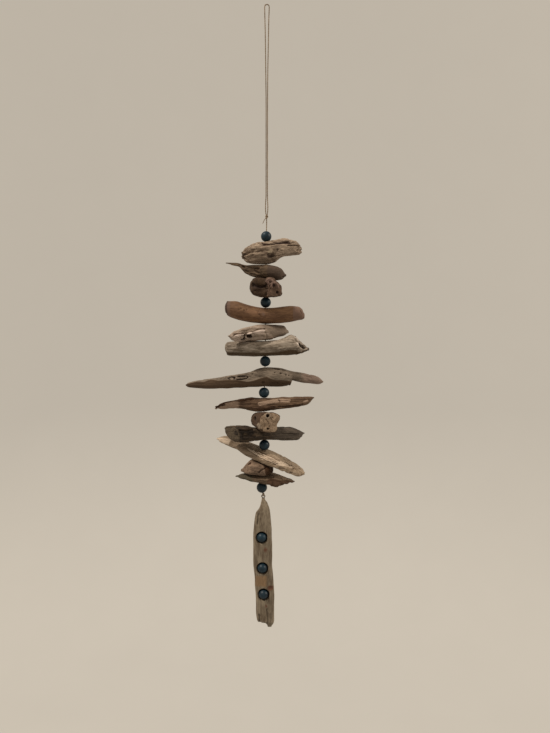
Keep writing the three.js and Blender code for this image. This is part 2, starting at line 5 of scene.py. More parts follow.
import bpy
import numpy as np
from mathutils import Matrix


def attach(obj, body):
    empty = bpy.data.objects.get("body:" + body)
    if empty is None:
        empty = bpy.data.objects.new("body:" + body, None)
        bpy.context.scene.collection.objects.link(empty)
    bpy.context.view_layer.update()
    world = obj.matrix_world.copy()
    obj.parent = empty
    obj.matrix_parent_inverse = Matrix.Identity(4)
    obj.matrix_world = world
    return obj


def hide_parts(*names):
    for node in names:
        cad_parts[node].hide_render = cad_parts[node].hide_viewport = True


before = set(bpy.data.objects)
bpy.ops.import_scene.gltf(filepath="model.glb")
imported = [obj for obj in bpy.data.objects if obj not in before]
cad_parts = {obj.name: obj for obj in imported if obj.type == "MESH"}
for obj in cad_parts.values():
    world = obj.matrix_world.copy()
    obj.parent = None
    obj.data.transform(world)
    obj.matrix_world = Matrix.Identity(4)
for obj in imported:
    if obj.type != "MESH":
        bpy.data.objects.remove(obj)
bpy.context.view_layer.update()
MM = 0.001


# ---------------------------------------------------------------------------------------------
# Camera: level with the middle of the mobile, half a metre in front of it, looking straight on
# through a wide lens. It is held a touch off the level.
# ---------------------------------------------------------------------------------------------

camera = bpy.data.objects.new("camera", bpy.data.cameras.new("camera"))
camera.data.lens = 27.06
camera.data.sensor_width = 36
camera.data.clip_start = 0.02
camera.location = (0.0102, -0.52345, -0.3434)
camera.rotation_euler = (np.pi / 2, -0.0075, 0)
bpy.context.collection.objects.link(camera)
bpy.context.scene.camera = camera


# ---------------------------------------------------------------------------------------------
# Cord: one length of two-ply hemp, 1 mm thick. It is tied to the screw eye, runs up through every
# bead and stick to a knot, and goes on as a long loop over the nail and back down to the knot.
# ---------------------------------------------------------------------------------------------

CORD_DIAMETER = 1.0
LAY_LENGTH = 4.4      # one whole turn of the two plies
LOOP_RADIUS = 2.1
KNOT = (1.2, 0, -201.4)
EYE_TOP = (0, 0, -465.1)


class Wire:
    """A socket of a material's nodes. Numbers and other wires can be added to it, taken from it and
    multiplied by it, which makes Math nodes. make() adds any other node."""

    def __init__(self, tree, socket=None):
        self.tree = tree
        self.socket = socket

    def make(self, kind, settings=None, values=None, out=0):
        node = self.tree.nodes.new(kind)
        for key, value in (settings or {}).items():
            setattr(node, key, value)
        for key, value in (values or {}).items():
            if isinstance(value, Wire):
                self.tree.links.new(value.socket, node.inputs[key])
            else:
                node.inputs[key].default_value = value
        return Wire(self.tree, node.outputs[out])

    def sum(self, operation, first, second):
        return self.make("ShaderNodeMath", {"operation": operation}, {0: first, 1: second})

    def __add__(self, other):
        return self.sum("ADD", self, other)

    __radd__ = __add__

    def __mul__(self, other):
        return self.sum("MULTIPLY", self, other)

    __rmul__ = __mul__

    def __sub__(self, other):
        return self.sum("SUBTRACT", self, other)

    def __rsub__(self, other):
        return self.sum("SUBTRACT", other, self)

    def clamped(self):
        return self.make("ShaderNodeClamp", {}, {0: self})

    def times(self, sizes):
        """A vector stretched by a number in each direction."""
        return self.make("ShaderNodeVectorMath", {"operation": "MULTIPLY"}, {0: self, 1: sizes})

    def noise(self, detail=3.0, roughness=0.55):
        """Noise over this vector, from 0 to 1 and mostly near the middle."""
        return self.make("ShaderNodeTexNoise", {},
                         {"Vector": self, "Scale": 1.0, "Detail": detail, "Roughness": roughness})

    def mix(self, first, second):
        """The first colour where this is 0, the second where it is 1."""
        return self.make("ShaderNodeMix", {"data_type": "RGBA"}, {0: self, 6: first, 7: second}, out=2)


def paint(red, green, blue):
    """A colour as it is seen, 0 to 255, as the linear colour that light is worked out in."""
    seen = np.array([red, green, blue]) / 255
    return (*(((seen + 0.055) / 1.055) ** 2.4), 1.0)


def finish_material(name, recipe, depth=0.1, strength=1.0, **constants):
    """A material from wires for its colour, its roughness and the height of its fine relief, which is
    depth in mm. Constants are shader inputs that are the same everywhere."""
    material = bpy.data.materials.new(name)
    material.use_nodes = True
    tree = material.node_tree
    wire = Wire(tree)
    shader = tree.nodes["Principled BSDF"]
    made = recipe(wire)
    tree.links.new(made["colour"].socket, shader.inputs["Base Color"])
    tree.links.new(made["roughness"].socket, shader.inputs["Roughness"])
    bump = wire.make("ShaderNodeBump", {},
                     {"Strength": strength, "Distance": depth * MM, "Height": made["height"]})
    tree.links.new(bump.socket, shader.inputs["Normal"])
    for key, value in constants.items():
        shader.inputs[key.replace("_", " ")].default_value = value
    return material


def woven(name, grid, joined=False, fields=None):
    """A closed mesh from a grid of rings in mm. Each ring is closed on itself and joined to the next by
    quads. Joined, the last ring meets the first; otherwise a point at its middle closes each end ring.
    Fields are numbers or vectors kept with every point. Faces are turned to point outwards, which the
    sign of the volume tells."""
    rings, around = grid.shape[:2]
    i, j = np.meshgrid(np.arange(rings if joined else rings - 1), np.arange(around), indexing="ij")
    n, k = (i + 1) % rings, (j + 1) % around
    quads = np.stack([i * around + j, i * around + k, n * around + k, n * around + j], -1).reshape(-1, 4)
    points = grid.reshape(-1, 3)
    fans = np.empty((0, 3), int)
    if not joined:
        points = np.vstack([points, grid[0].mean(0), grid[-1].mean(0)])
        j = np.arange(around)
        k = (j + 1) % around
        last = (rings - 1) * around
        hub = rings * around
        fans = np.vstack([np.stack([0 * j + hub, k, j], -1),
                          np.stack([0 * j + hub + 1, last + j, last + k], -1)])
    halves = np.vstack([quads[:, :3], quads[:, [0, 2, 3]], fans])
    a, b, c = (points[halves[:, m]] for m in range(3))
    if np.einsum("ij,ij->i", a, np.cross(b, c)).sum() < 0:
        quads, fans = quads[:, ::-1], fans[:, ::-1]
    mesh = bpy.data.meshes.new(name)
    corners = np.concatenate([quads.ravel(), fans.ravel()]).astype(np.int32)
    starts = np.concatenate([np.arange(len(quads)) * 4, len(quads) * 4 + np.arange(len(fans)) * 3])
    mesh.vertices.add(len(points))
    mesh.vertices.foreach_set("co", (points * MM).astype(np.float32).ravel())
    mesh.loops.add(len(corners))
    mesh.loops.foreach_set("vertex_index", corners)
    mesh.polygons.add(len(starts))
    mesh.polygons.foreach_set("loop_start", starts.astype(np.int32))
    mesh.polygons.foreach_set("use_smooth", np.ones(len(starts), bool))
    mesh.update(calc_edges=True)
    for key, values in (fields or {}).items():
        flat = values.reshape(rings * around, -1)
        if not joined:
            ends = [values[m].reshape(around, -1).mean(0) for m in (0, -1)]
            flat = np.vstack([flat, *ends])
        kind, word = ("FLOAT_VECTOR", "vector") if flat.shape[1] == 3 else ("FLOAT", "value")
        mesh.attributes.new(key, kind, "POINT").data.foreach_set(word, flat.astype(np.float32).ravel())
    piece = bpy.data.objects.new(name, mesh)
    bpy.context.collection.objects.link(piece)
    return piece


def smooth_route(points, step):
    """Points evenly spaced along the cubic curve through the given ones, whose slope at each is that of
    the line between its two neighbours."""
    points = np.array(points, float)
    place = np.concatenate([[0], np.cumsum(np.linalg.norm(np.diff(points, axis=0), axis=1))])
    slope = np.gradient(points, place, axis=0)
    at = np.linspace(0, place[-1], int(place[-1] / 0.1))
    i = np.clip(np.searchsorted(place, at, side="right") - 1, 0, len(place) - 2)
    span = (place[i + 1] - place[i])[:, None]
    t = ((at - place[i])[:, None]) / span
    fine = ((2 * t**3 - 3 * t**2 + 1) * points[i] + (t**3 - 2 * t**2 + t) * span * slope[i]
            + (3 * t**2 - 2 * t**3) * points[i + 1] + (t**3 - t**2) * span * slope[i + 1])
    length = np.concatenate([[0], np.cumsum(np.linalg.norm(np.diff(fine, axis=0), axis=1))])
    even = np.linspace(0, length[-1], int(length[-1] / step))
    return np.stack([np.interp(even, length, fine[:, m]) for m in range(3)], -1)


def twisted_tube(name, route, side, around=14, taper=None):
    """A two-ply cord along a route. Its section is 0.34 mm at the waist and 0.52 mm over the plies,
    by the size of the cosine of the angle, and turns once in every lay length. side is a direction
    square to the route, or one for each of its points."""
    tangent = np.gradient(route, axis=0)
    tangent /= np.linalg.norm(tangent, axis=1, keepdims=True)
    across = np.broadcast_to(np.array(side, float), route.shape)
    across = across - (across * tangent).sum(1, keepdims=True) * tangent
    across /= np.linalg.norm(across, axis=1, keepdims=True)
    out = np.cross(tangent, across)
    length = np.concatenate([[0], np.cumsum(np.linalg.norm(np.diff(route, axis=0), axis=1))])[:, None]
    angle = np.linspace(0, 2 * np.pi, around, endpoint=False)[None, :]
    ply = np.abs(np.cos(angle - 2 * np.pi * length / LAY_LENGTH))
    wander = 1 + 0.05 * np.sin(1.7 * length) + 0.04 * np.sin(0.61 * length + 2)
    radius = (0.34 + 0.18 * ply**0.8) * wander * CORD_DIAMETER
    if taper is not None:
        radius = radius * taper[:, None]
    ring = np.cos(angle)[..., None] * across[:, None] + np.sin(angle)[..., None] * out[:, None]
    grid = route[:, None] + radius[..., None] * ring
    strand = np.stack(np.broadcast_arrays(length, radius * np.cos(angle), radius * np.sin(angle)), -1)
    return woven(name, grid, fields={"grain": strand, "ply": ply + 0 * length})


THREADED = [
    [-1.2, 0, -463.0], [-1.4, 0, -458.4], [-1.1, 0, -449], [-0.2, 0, -440], [0.4, 0, -429], [0.6, 0, -418],
    [0.3, 0, -406], [0.1, 0, -394], [0.0, 0, -380], [0.1, 0, -368.3], [0.5, 0, -353], [0.8, 0, -338.5],
    [0.9, 0, -325], [0.9, 0, -311], [0.9, 0, -294.5], [0.9, 0, -282.6], [0.9, 0, -269], [0.9, 0, -253],
    [0.9, 0, -236], [1.0, 0, -220], [1.2, 0, -203.8], [1.1, 0, -201.4],
]
STRAND = [  # how far out from the middle, where the middle is, height
    [0.65, 1.2, -198.6], [0.65, 1.1, -180], [0.65, 0.9, -150], [0.65, 0.7, -120], [0.70, 0.5, -90],
    [0.95, 0.3, -65], [1.3, 0.2, -42], [1.6, 0.1, -24], [1.9, 0, -12], [2.1, 0, -5],
]
turn = np.linspace(np.pi, 0, 9)
over = np.stack([LOOP_RADIUS * np.cos(turn), 0 * turn,
                 CORD_DIAMETER / 2 - LOOP_RADIUS * (1 - np.sin(turn))], -1)
up = [[middle - out, 0, z] for out, middle, z in STRAND]
down = [[middle + out, 0, z] for out, middle, z in STRAND[::-1]]
cord_route = smooth_route([*THREADED, *up, *over, *down, [1.35, 0, -201.4]], 0.25)


def hemp(wire):
    """Straw brown fibres, with painted shade darkening the groove between the plies."""
    strand = wire.make("ShaderNodeAttribute", {"attribute_name": "grain"}, out=1)
    ply = wire.make("ShaderNodeAttribute", {"attribute_name": "ply"}, out=2)
    fibres = strand.times((0.9, 9.0, 9.0)).noise(3)
    patches = strand.times((0.12, 0.6, 0.6)).noise(2)
    # ply is high on the crown of each ply, so the groove between the plies takes painted shade.
    tone = ((fibres - 0.5) * 1.6 + (patches - 0.5) * 1.4 + ply * 0.9 - 0.05).clamped()
    return {"colour": tone.mix(paint(84, 66, 48), paint(168, 144, 116)), "roughness": fibres * 0.2 + 0.75,
            "height": fibres}


hemp_cord = finish_material("hemp_cord", hemp, depth=0.08)
cord = twisted_tube("hanging_cord", cord_route, (0, 1, 0))

# The knot is an overhand knot pulled tight, with one short tail left on it.
t = np.linspace(0, 2 * np.pi, 220)
knot_line = np.array(KNOT) + np.stack([0.36 * (np.sin(t) + 2 * np.sin(2 * t)), 0.85 * np.sin(3 * t),
                                       0.5 * (np.cos(t) - 2 * np.cos(2 * t))], -1)
knot_bend = np.gradient(np.gradient(knot_line, axis=0), axis=0)
knot = twisted_tube("cord_knot_wraps", knot_line, knot_bend)
tail_line = smooth_route([[0.9, -0.7, -202.2], [-0.2, -1.1, -203.6], [-1.5, -1.0, -205.6], [-2.5, -0.6, -208.0]],
                         0.25)
tail = twisted_tube("cord_knot_tail", tail_line, (0, 1, 0), taper=np.linspace(1, 0.55, len(tail_line)))

# The tie goes twice round the top of the screw eye.
t = np.linspace(-0.6, 4 * np.pi + 0.6, 150)
tie_line = np.array(EYE_TOP) + np.stack([0.5 * (t / (2 * np.pi) - 1), 1.2 * np.sin(t), 1.2 * np.cos(t)], -1)
tie = twisted_tube("cord_tie_wraps", tie_line, (1, 0, 0))

for piece in (cord, knot, tail, tie):
    piece.data.materials.append(hemp_cord)
    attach(piece, "root")
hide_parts("cord_threaded", "cord_loop")
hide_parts("cord_knot")
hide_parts("cord_tie")


# ---------------------------------------------------------------------------------------------
# Beads on the cord: six round wooden beads, 10 mm across, dipped in dark blue lacquer and drilled
# through for the cord.
# ---------------------------------------------------------------------------------------------

BEAD_RADIUS = 5.0
BORE_RADIUS = 1.2
BEADS = [(0.9, -220.0), (0.9, -282.6), (0.9, -338.5), (0.0, -368.3), (0.7, -418.0), (-1.4, -458.4)]


def lacquer(wire):
    """Dark blue that is greener and paler in slow patches, over a skin that is not quite even."""
    place = wire.make("ShaderNodeTexCoord", {}, out=3)
    patches = place.times((160, 160, 160)).noise(3)
    pores = place.times((1500, 1500, 700)).noise(2)
    tone = ((patches - 0.35) * 2.0).clamped()
    return {"colour": tone.mix(paint(8, 24, 34), paint(22, 54, 66)), "roughness": patches * 0.22 + 0.36,
            "height": pores * 0.5 + patches}


blue_lacquer = finish_material("blue_lacquer", lacquer, depth=0.12, strength=0.6,
                               Coat_Weight=0.06, Coat_Roughness=0.35, Specular_IOR_Level=0.3)


def drilled_bead(name, x, z):
    """A ball spun about its bore: down the outside from one mouth to the other, with the mouths
    rounded over, and back up through the bore."""
    mouth = np.arcsin((BORE_RADIUS + 0.25) / BEAD_RADIUS)
    arc = np.linspace(mouth, np.pi - mouth, 44)
    out, high = BEAD_RADIUS * np.sin(arc), BEAD_RADIUS * np.cos(arc)
    edge = BEAD_RADIUS * np.cos(mouth)
    bore = np.linspace(-1, 1, 14)
    lip = edge - 0.35
    radius = np.concatenate([out, [BORE_RADIUS + 0.08], BORE_RADIUS + 0 * bore, [BORE_RADIUS + 0.08]])
    height = np.concatenate([high, [-edge + 0.12], bore * lip, [edge - 0.12]])
    turn = np.linspace(0, 2 * np.pi, 64, endpoint=False)
    grid = np.stack([x + radius[:, None] * np.cos(turn), radius[:, None] * np.sin(turn),
                     z + height[:, None] + 0 * turn], -1)
    return woven(name, grid, joined=True)


for number, (x, z) in enumerate(BEADS, 1):
    bead = drilled_bead(f"lacquered_bead_{number}", x, z)
    bead.data.materials.append(blue_lacquer)
    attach(bead, "root")
    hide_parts(f"cord_bead_{number}")


# ---------------------------------------------------------------------------------------------
# Gnarled root: the top stick, a weathered root end with a torn left end, a deep red-brown crevice
# along its upper right and a slot below it. It is drilled upright and threaded on the cord.
# ---------------------------------------------------------------------------------------------

RING_STEP = 0.46      # between the rings of a stick's skin
POINTS_AROUND = 128


def noise(points, size, seed):
    """Value noise from -1 to 1: random numbers on a lattice of that size in mm, which may differ in
    each direction, blended between its corners by the curve 3t squared less 2t cubed."""
    numbers = np.random.default_rng(seed).uniform(-1, 1, 4096)
    place = points / np.array(size)
    cell = np.floor(place).astype(np.int64)
    t = place - cell
    t = t * t * (3 - 2 * t)
    total = 0
    for dx in (0, 1):
        for dy in (0, 1):
            for dz in (0, 1):
                key = ((cell[..., 0] + dx) * 73856093) ^ ((cell[..., 1] + dy) * 19349663)
                key = key ^ ((cell[..., 2] + dz) * 83492791)
                share = (t[..., 0] if dx else 1 - t[..., 0]) * (t[..., 1] if dy else 1 - t[..., 1])
                total = total + share * (t[..., 2] if dz else 1 - t[..., 2]) * numbers[key & 4095]
    return total


def step_up(low, high, values):
    """0 below low, 1 above high, and a smooth rise between."""
    t = np.clip((values - low) / (high - low), 0, 1)
    return t * t * (3 - 2 * t)


def read_stations(stations, along):
    """Every column of a row of stations at any distance along: the cubic through two stations whose
    slope at each is the weighted harmonic mean of the slopes on either side, or level where the row
    turns back and at its ends."""
    rows = np.array(stations, float)
    at, columns = rows[:, 0], rows[:, 1:]
    width = np.diff(at)[:, None]
    rise = np.diff(columns, axis=0) / width
    before, after = width[:-1], width[1:]
    same = rise[:-1] * rise[1:] > 0
    first, second = np.where(same, rise[:-1], 1), np.where(same, rise[1:], 1)
    slope = np.zeros_like(columns)
    weighted = (2 * after + before) / first + (after + 2 * before) / second
    slope[1:-1] = np.where(same, 3 * (before + after) / weighted, 0)
    i = np.clip(np.searchsorted(at, along, side="right") - 1, 0, len(at) - 2)
    span = width[i]
    t = np.clip((along - at[i])[:, None] / span, 0, 1)
    return ((2 * t**3 - 3 * t**2 + 1) * columns[i] + (t**3 - 2 * t**2 + t) * span * slope[i]
            + (3 * t**2 - 2 * t**3) * columns[i + 1] + (t**3 - t**2) * span * slope[i + 1])


class Stick:
    """The skin of one stick, in mm, on a grid of rings.

    A station is [along, top, bottom, front, back], and its section is a squared ellipse: corners is 2
    for a plain one and 4 for a board with round edges. Angles go round the stick in degrees, with 0
    facing the viewer and 90 up. A mark raises or sinks the skin round one spot by a bell curve. Each
    end may be slanted, skewed or torn, which fades out along the stick, and is closed by rings that
    shrink to its middle. A stick that hangs has its stations run down, with its top side to the right.

    relief is how far the finished skin stands out from this form, and zones are how far each point is sunk,
    which paints shade into the hollows, and how much it takes of the stick's first and second stain. shade
    darkens a point as if it were sunk: it is painted shade, and on some sticks a dark stain."""

    def __init__(self, x, height, yaw, stations, corners=2.5, pitch=0, marks=(), left=None, right=None,
                 domes=(0.4, 0.4), hangs=False, spread=1.0):
        left, right = left or {}, right or {}
        first, last = stations[0][0], stations[-1][0]
        along = np.linspace(first, last, int((last - first) / RING_STEP) + 1)
        turn = np.linspace(0, 2 * np.pi, POINTS_AROUND, endpoint=False)
        turn = np.arctan2(spread * np.sin(turn), np.cos(turn)) % (2 * np.pi)
        top, bottom, front, back = read_stations(stations, along).T[..., None]
        along, turn = np.meshgrid(along, turn, indexing="ij")
        across, up = np.cos(turn), np.sin(turn)
        half_depth = np.where(across > 0, front, back)
        half_height = (top - bottom) / 2
        plain = (np.abs(across / half_depth) ** corners + np.abs(up / half_height) ** corners) ** (-1 / corners)
        radius = plain.copy()
        for at, angle, length, width, rise in marks:
            away = (np.degrees(turn) - angle + 540) % 360 - 180
            radius += rise * np.exp(-(((along - at) / length) ** 2) - (away / width) ** 2)
        radius = np.maximum(radius, 0.15 * plain)
        depth = -radius * across
        high = (top + bottom) / 2 + radius * up + pitch * depth
        torn_edge = 0.6 * np.sin(3 * turn + 0.7) + 0.4 * np.sin(7 * turn + 2.1)
        shift = 0
        for end, place in ((left, first), (right, last)):
            near = np.exp(-(((along - place) / end.get("fade", 8)) ** 2))
            shift = shift + near * (end.get("slant", 0) * plain * up / half_height
                                    + end.get("skew", 0) * plain * across / half_depth
                                    + end.get("torn", 0) * torn_edge)
        skin = np.stack([along + shift, depth, high], -1)
        before, after = self.end_rings(skin[0], -domes[0]), self.end_rings(skin[-1], domes[1])[::-1]
        self.local = np.concatenate([before[::-1], skin, after[::-1]])
        inner, outer = len(before), len(before) + len(skin)
        self.cap = np.zeros(len(self.local))
        self.cap[:inner], self.cap[outer:] = -1, 1
        self.cap = self.cap[:, None] + 0 * turn[:1]
        edge = np.concatenate([0 * before[..., 0] + first, along, 0 * after[..., 0] + last])
        self.along = edge
        self.angle = np.degrees(np.broadcast_to(turn[:1], edge.shape))
        self.signed = (self.angle + 180) % 360 - 180
        middle = self.local.mean(1, keepdims=True)
        self.reach = np.hypot(self.local[..., 1] - middle[..., 1], self.local[..., 2] - middle[..., 2]) + 0.05
        lengthwise = np.gradient(self.local, axis=0)
        crosswise = np.roll(self.local, -1, 1) - np.roll(self.local, 1, 1)
        normal = np.cross(lengthwise, crosswise)
        normal /= np.linalg.norm(normal, axis=-1, keepdims=True) + 1e-9
        self.normal = normal * np.sign((normal * (self.local - middle)).sum())
        self.place = (x, height, np.radians(yaw), hangs)
        self.world = self.placed(self.local)
        self.relief = np.zeros(edge.shape)
        self.zones = np.zeros((*edge.shape, 3))
        self.shade = np.zeros(edge.shape)

    @staticmethod
    def end_rings(rim, dome):
        """Rings from just inside a rim to its middle, bulging by the dome along a quarter circle."""
        middle = rim.mean(0)
        size = np.hypot(*(rim - middle)[:, 1:].T).mean()
        part = np.linspace(1, 0, max(4, int(size / RING_STEP)) + 1)[1:-1, None, None]
        rings = middle + part * (rim - middle)
        rings[..., 0] += dome * np.sqrt(1 - part[..., 0] ** 2)
        return rings

    def placed(self, points):
        """Points of the stick where they are on the mobile."""
        x, height, yaw, hangs = self.place
        along, depth, up = points[..., 0], points[..., 1], points[..., 2]
        if hangs:
            return np.stack([x + up, depth, height - along], -1)
        return np.stack([x + along * np.cos(yaw) - depth * np.sin(yaw),
                         along * np.sin(yaw) + depth * np.cos(yaw), height + up], -1)

    def near(self, along, angle, length, width, lean=0):
        """How far each point is from a spot, 1 on the rim of an oval of that half length and half
        width in mm, which may lean against the grain."""
        u = self.along - along + np.where(self.cap, self.local[..., 0] - self.along, 0)
        v = self.reach * np.radians((self.angle - angle + 540) % 360 - 180)
        c, s = np.cos(np.radians(lean)), np.sin(np.radians(lean))
        return np.hypot((u * c + v * s) / length, (v * c - u * s) / width)

    def facing(self, x, z, width, height, lean=0):
        """The same for a spot on the side that faces the viewer, given by where it is seen."""
        u, v = self.world[..., 0] - x, self.world[..., 2] - z
        c, s = np.cos(np.radians(lean)), np.sin(np.radians(lean))
        away = np.hypot((u * c + v * s) / width, (v * c - u * s) / height)
        front = self.placed(self.local + self.normal)[..., 1] < self.world[..., 1] - 0.15
        return np.where(front, away, 9.0)

    def from_line(self, spots, wander=0.5, seed=0):
        """How far each point is, in mm over the skin, from a line through spots [along, angle]. A slow
        noise makes the line wander."""
        u = self.along + wander * noise(self.local, 3.0, seed)
        v = self.angle + np.degrees(wander * noise(self.local, 3.0, seed + 1) / self.reach)
        best = np.full(u.shape, 99.0)
        for (a, b), (c, d) in zip(spots, spots[1:]):
            du, dv = c - a, self.reach * np.radians(d - b)
            pu, pv = u - a, self.reach * np.radians((v - b + 540) % 360 - 180)
            k = np.clip((pu * du + pv * dv) / (du * du + dv * dv + 1e-9), 0, 1)
            best = np.minimum(best, np.hypot(pu - k * du, pv - k * dv))
        return best

    def seen_line(self, spots, wander=0.3, seed=0):
        """The same for a line on the side that faces the viewer, through spots [x, z] as seen."""
        x = self.world[..., 0] + wander * noise(self.local, 2.0, seed)
        z = self.world[..., 2] + wander * noise(self.local, 2.0, seed + 1)
        best = np.full(x.shape, 99.0)
        for (a, b), (c, d) in zip(spots, spots[1:]):
            k = np.clip(((x - a) * (c - a) + (z - b) * (d - b)) / ((c - a) ** 2 + (d - b) ** 2 + 1e-9), 0, 1)
            best = np.minimum(best, np.hypot(x - a - k * (c - a), z - b - k * (d - b)))
        front = self.placed(self.local + self.normal)[..., 1] < self.world[..., 1] - 0.15
        return np.where(front, best, 99.0)

    def sink(self, away, depth, soft=0.35):
        """Sinks the skin by that depth where away is under 1, with walls that take up the soft share
        of the width. A depth below 0 raises it."""
        self.relief -= depth * (1 - step_up(1 - soft, 1 + soft, away))

    def grooves(self, *rows):
        """Sinks lines one after another, each given as (spots, wander, seed, half width, depth)."""
        for spots, wander, seed, width, depth in rows:
            self.sink(self.from_line(spots, wander, seed) / width, depth)

    def pits(self, *rows):
        """Sinks ovals one after another, each given as (along, angle, half length, half width, depth)."""
        for along, angle, length, width, depth in rows:
            self.sink(self.near(along, angle, length, width), depth)

    def fibres(self, depth, size, length, seed, only=1.0):
        """Grooves along the grain: noise stretched lengthwise, sunk where it is near 0."""
        lines = 1 - np.abs(noise(self.local, (length, size, size), seed)) * 3.2
        self.relief -= only * depth * np.clip(lines, 0, 1) ** 1.2

    def swells(self, depth, size, seed, only=1.0):
        """Slow rises and hollows all over."""
        self.relief += only * depth * noise(self.local, size, seed)

    def darken(self, away, amount=1.3):
        """Darkens the skin where away is under 1, as deep as a hollow. It paints shade into holes, cracks,
        grooves and worm tracks, under a ledge and as one cast shadow, and it also lays dark stains.
        """
        self.shade = np.maximum(self.shade, amount * (1 - step_up(0.8, 1.2, away)))

    def stain_and_shade(self, which, amount):
        """Lays the first or second stain on, where it is not already stronger. On the split log the second is
        not a stain but painted shade on the underside.
        """
        self.zones[..., which] = np.maximum(self.zones[..., which], np.clip(amount, 0, 1))

    def build(self, name, node, material):
        """Drills the two mouths of the bore, moves the skin out by its relief and makes the piece."""
        if not self.place[3]:
            for angle in (90, 270):
                self.sink(self.near(0, angle, 1.2, 1.2) + np.abs(self.cap), 1.6, 0.2)
        # Sunk points take painted shade, and so do the points that shade marks.
        self.zones[..., 0] = np.maximum(step_up(0.25, 1.9, -self.relief), self.shade)
        points = self.placed(self.local + self.normal * self.relief[..., None])
        piece = woven(name, points, fields={"grain": self.local, "zones": self.zones})
        piece.data.materials.append(material)
        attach(piece, "root")
        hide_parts(node)
        return piece


def weathered(name, pale, deep, hollow, first=None, second=None, streak=1.0, blotch=1.0, bump=0.25, rough=0.8):
    """Old bare wood: pale and deep wood in streaks along the grain and in blotches, with painted shade of the
    hollow colour where the skin is sunk or marked shaded, and with the stick's first and second stain where its
    zones put them."""

    def wood(wire):
        grain = wire.make("ShaderNodeAttribute", {"attribute_name": "grain"}, out=1)
        zones = wire.make("ShaderNodeAttribute", {"attribute_name": "zones"}, out=1)
        parts = wire.tree.nodes.new("ShaderNodeSeparateXYZ")
        wire.tree.links.new(zones.socket, parts.inputs[0])
        sunk, one, two = (Wire(wire.tree, parts.outputs[m]) for m in range(3))
        broad = grain.times((0.07, 0.16, 0.16)).noise(3)
        lines = grain.times((0.06, 0.85, 0.85)).noise(4, 0.6)
        hairs = grain.times((0.25, 3.4, 3.4)).noise(3, 0.6)
        specks = grain.times((0.9, 1.3, 1.3)).noise(3, 0.65)
        tone = (lines - 0.5) * (2.4 * streak) + (broad - 0.5) * (2.2 * blotch)
        tone = (tone + (hairs - 0.5) * 1.9 + 0.5).clamped()
        colour = tone.mix(paint(*deep), paint(*pale))
        ragged = (specks - 0.5) * 0.9 + (lines - 0.5) * 0.7
        shade = tone * 0.7 + 0.3
        if first:
            amount = ((one + ragged * (one * 0.9 + 0.1) - 0.5) * 3.0 + 0.5).clamped()
            dark = tuple(0.62 * v for v in paint(*first)[:3]) + (1.0,)
            colour = amount.mix(colour, shade.mix(dark, paint(*first)))
        if second:
            amount = ((two + ragged * (two * 0.9 + 0.1) - 0.5) * 3.0 + 0.5).clamped()
            dark = tuple(0.62 * v for v in paint(*second)[:3]) + (1.0,)
            colour = amount.mix(colour, shade.mix(dark, paint(*second)))
        # Painted shade: the hollow colour where the skin is sunk or marked shaded.
        colour = (sunk * 0.85 + (specks - 0.62) * sunk * 1.4).clamped().mix(colour, paint(*hollow))
        return {"colour": colour, "roughness": (lines - 0.5) * 0.3 + rough,
                "height": hairs + lines * 0.8 + specks * 0.5}

    return finish_material(name, wood, depth=bump, strength=0.8, Specular_IOR_Level=0.3)


root = Stick(
    x=0.9, height=-236, yaw=8, corners=2.7,
    stations=[
        [-22.5, 0.5, -6.4, 3.0, 3.0], [-18.5, 4.4, -9.4, 6.0, 6.0], [-10, 9.2, -10.2, 9.0, 8.0],
        [0, 10.7, -10.2, 10.0, 9.0], [8, 13.6, -8.0, 9.5, 9.0], [17, 15.4, -2.4, 8.5, 8.0],
        [26, 13.4, -0.8, 7.5, 7.0], [31.4, 9.8, 0.0, 5.4, 5.4], [33.6, 7.4, 1.6, 3.0, 3.0],
    ],
    marks=[(15, 60, 10, 16, -2.4), (5.5, -14, 3.5, 20, -2.6), (-20, 12, 8, 12, -1.6), (-18, -38, 10, 12, -1.6),
           (-4, -60, 9, 16, -1.8)],
    left={"torn": 1.4}, right={"torn": 1.0},
)
crevice = root.near(14.5, 30, 8.2, 2.6, -14)
top_line = root.from_line([[-8, 54], [-2, 42], [7, 30]], 0.5, 12)
root.swells(0.5, 7, 1)
root.fibres(0.5, 2.6, 22, 2)
root.fibres(0.3, 1.4, 9, 3)
root.sink(crevice, 2.8, 0.5)
pit = root.near(3.5, -34, 3.6, 2.0, -14)
# Painted shade in the crevice, in the pit and in the groove along the top.
root.darken(crevice / 0.95)
root.darken(pit / 0.95)
root.darken(top_line / 0.5, 0.9)
root.darken(root.from_line([[32.5, 40], [33, 10], [33, -20]], 0.2, 16) / 0.6, 1.0)
root.sink(root.from_line([[19.5, 12], [23, 24], [27, 38]], 0.3, 14) / 0.7, -0.6, 0.7)
root.grooves(
    ([[19.5, -3], [25, 4], [31, 14]], 0.3, 4, 0.65, 1.7),
    ([[-23, 14], [-17, 10], [-11, 0], [1, -2]], 0.5, 6, 0.8, 0.6),
    ([[-24, -26], [-13, -18]], 0.5, 8, 1.0, 0.9),
    ([[-24, -60], [-15, -48]], 0.5, 10, 0.9, 0.8),
)
root.sink(top_line / 0.7, 1.0)
root.sink(root.near(1, -18, 1.6, 1.0), 1.5)
root.sink(pit, 2.6, 0.5)
root.pits((9.5, -8, 1.0, 0.9, 1.0), (-2.5, 35, 1.8, 0.7, 1.2), (29, -26, 1.4, 0.9, 1.0))
root.sink(root.near(2.5, -5, 2.4, 1.2), -0.6, 0.7)
root.stain_and_shade(1, 1.4 - crevice)
root.stain_and_shade(1, 1 - top_line / 1.5)
root.stain_and_shade(2, 1.5 - root.near(2.5, -5, 2.4, 1.4))
root.build("gnarled_root_wood", "gnarled_root",
           weathered("taupe_driftwood", (182, 158, 133), (94, 74, 57), (51, 33, 22),
                     (62, 28, 12), (175, 154, 126)))


# ---------------------------------------------------------------------------------------------
# Beaked sliver: a darker split piece whose left end is drawn out into a thin beak. Ridges run down
# across its left half, and the right half is worn smooth.
# ---------------------------------------------------------------------------------------------

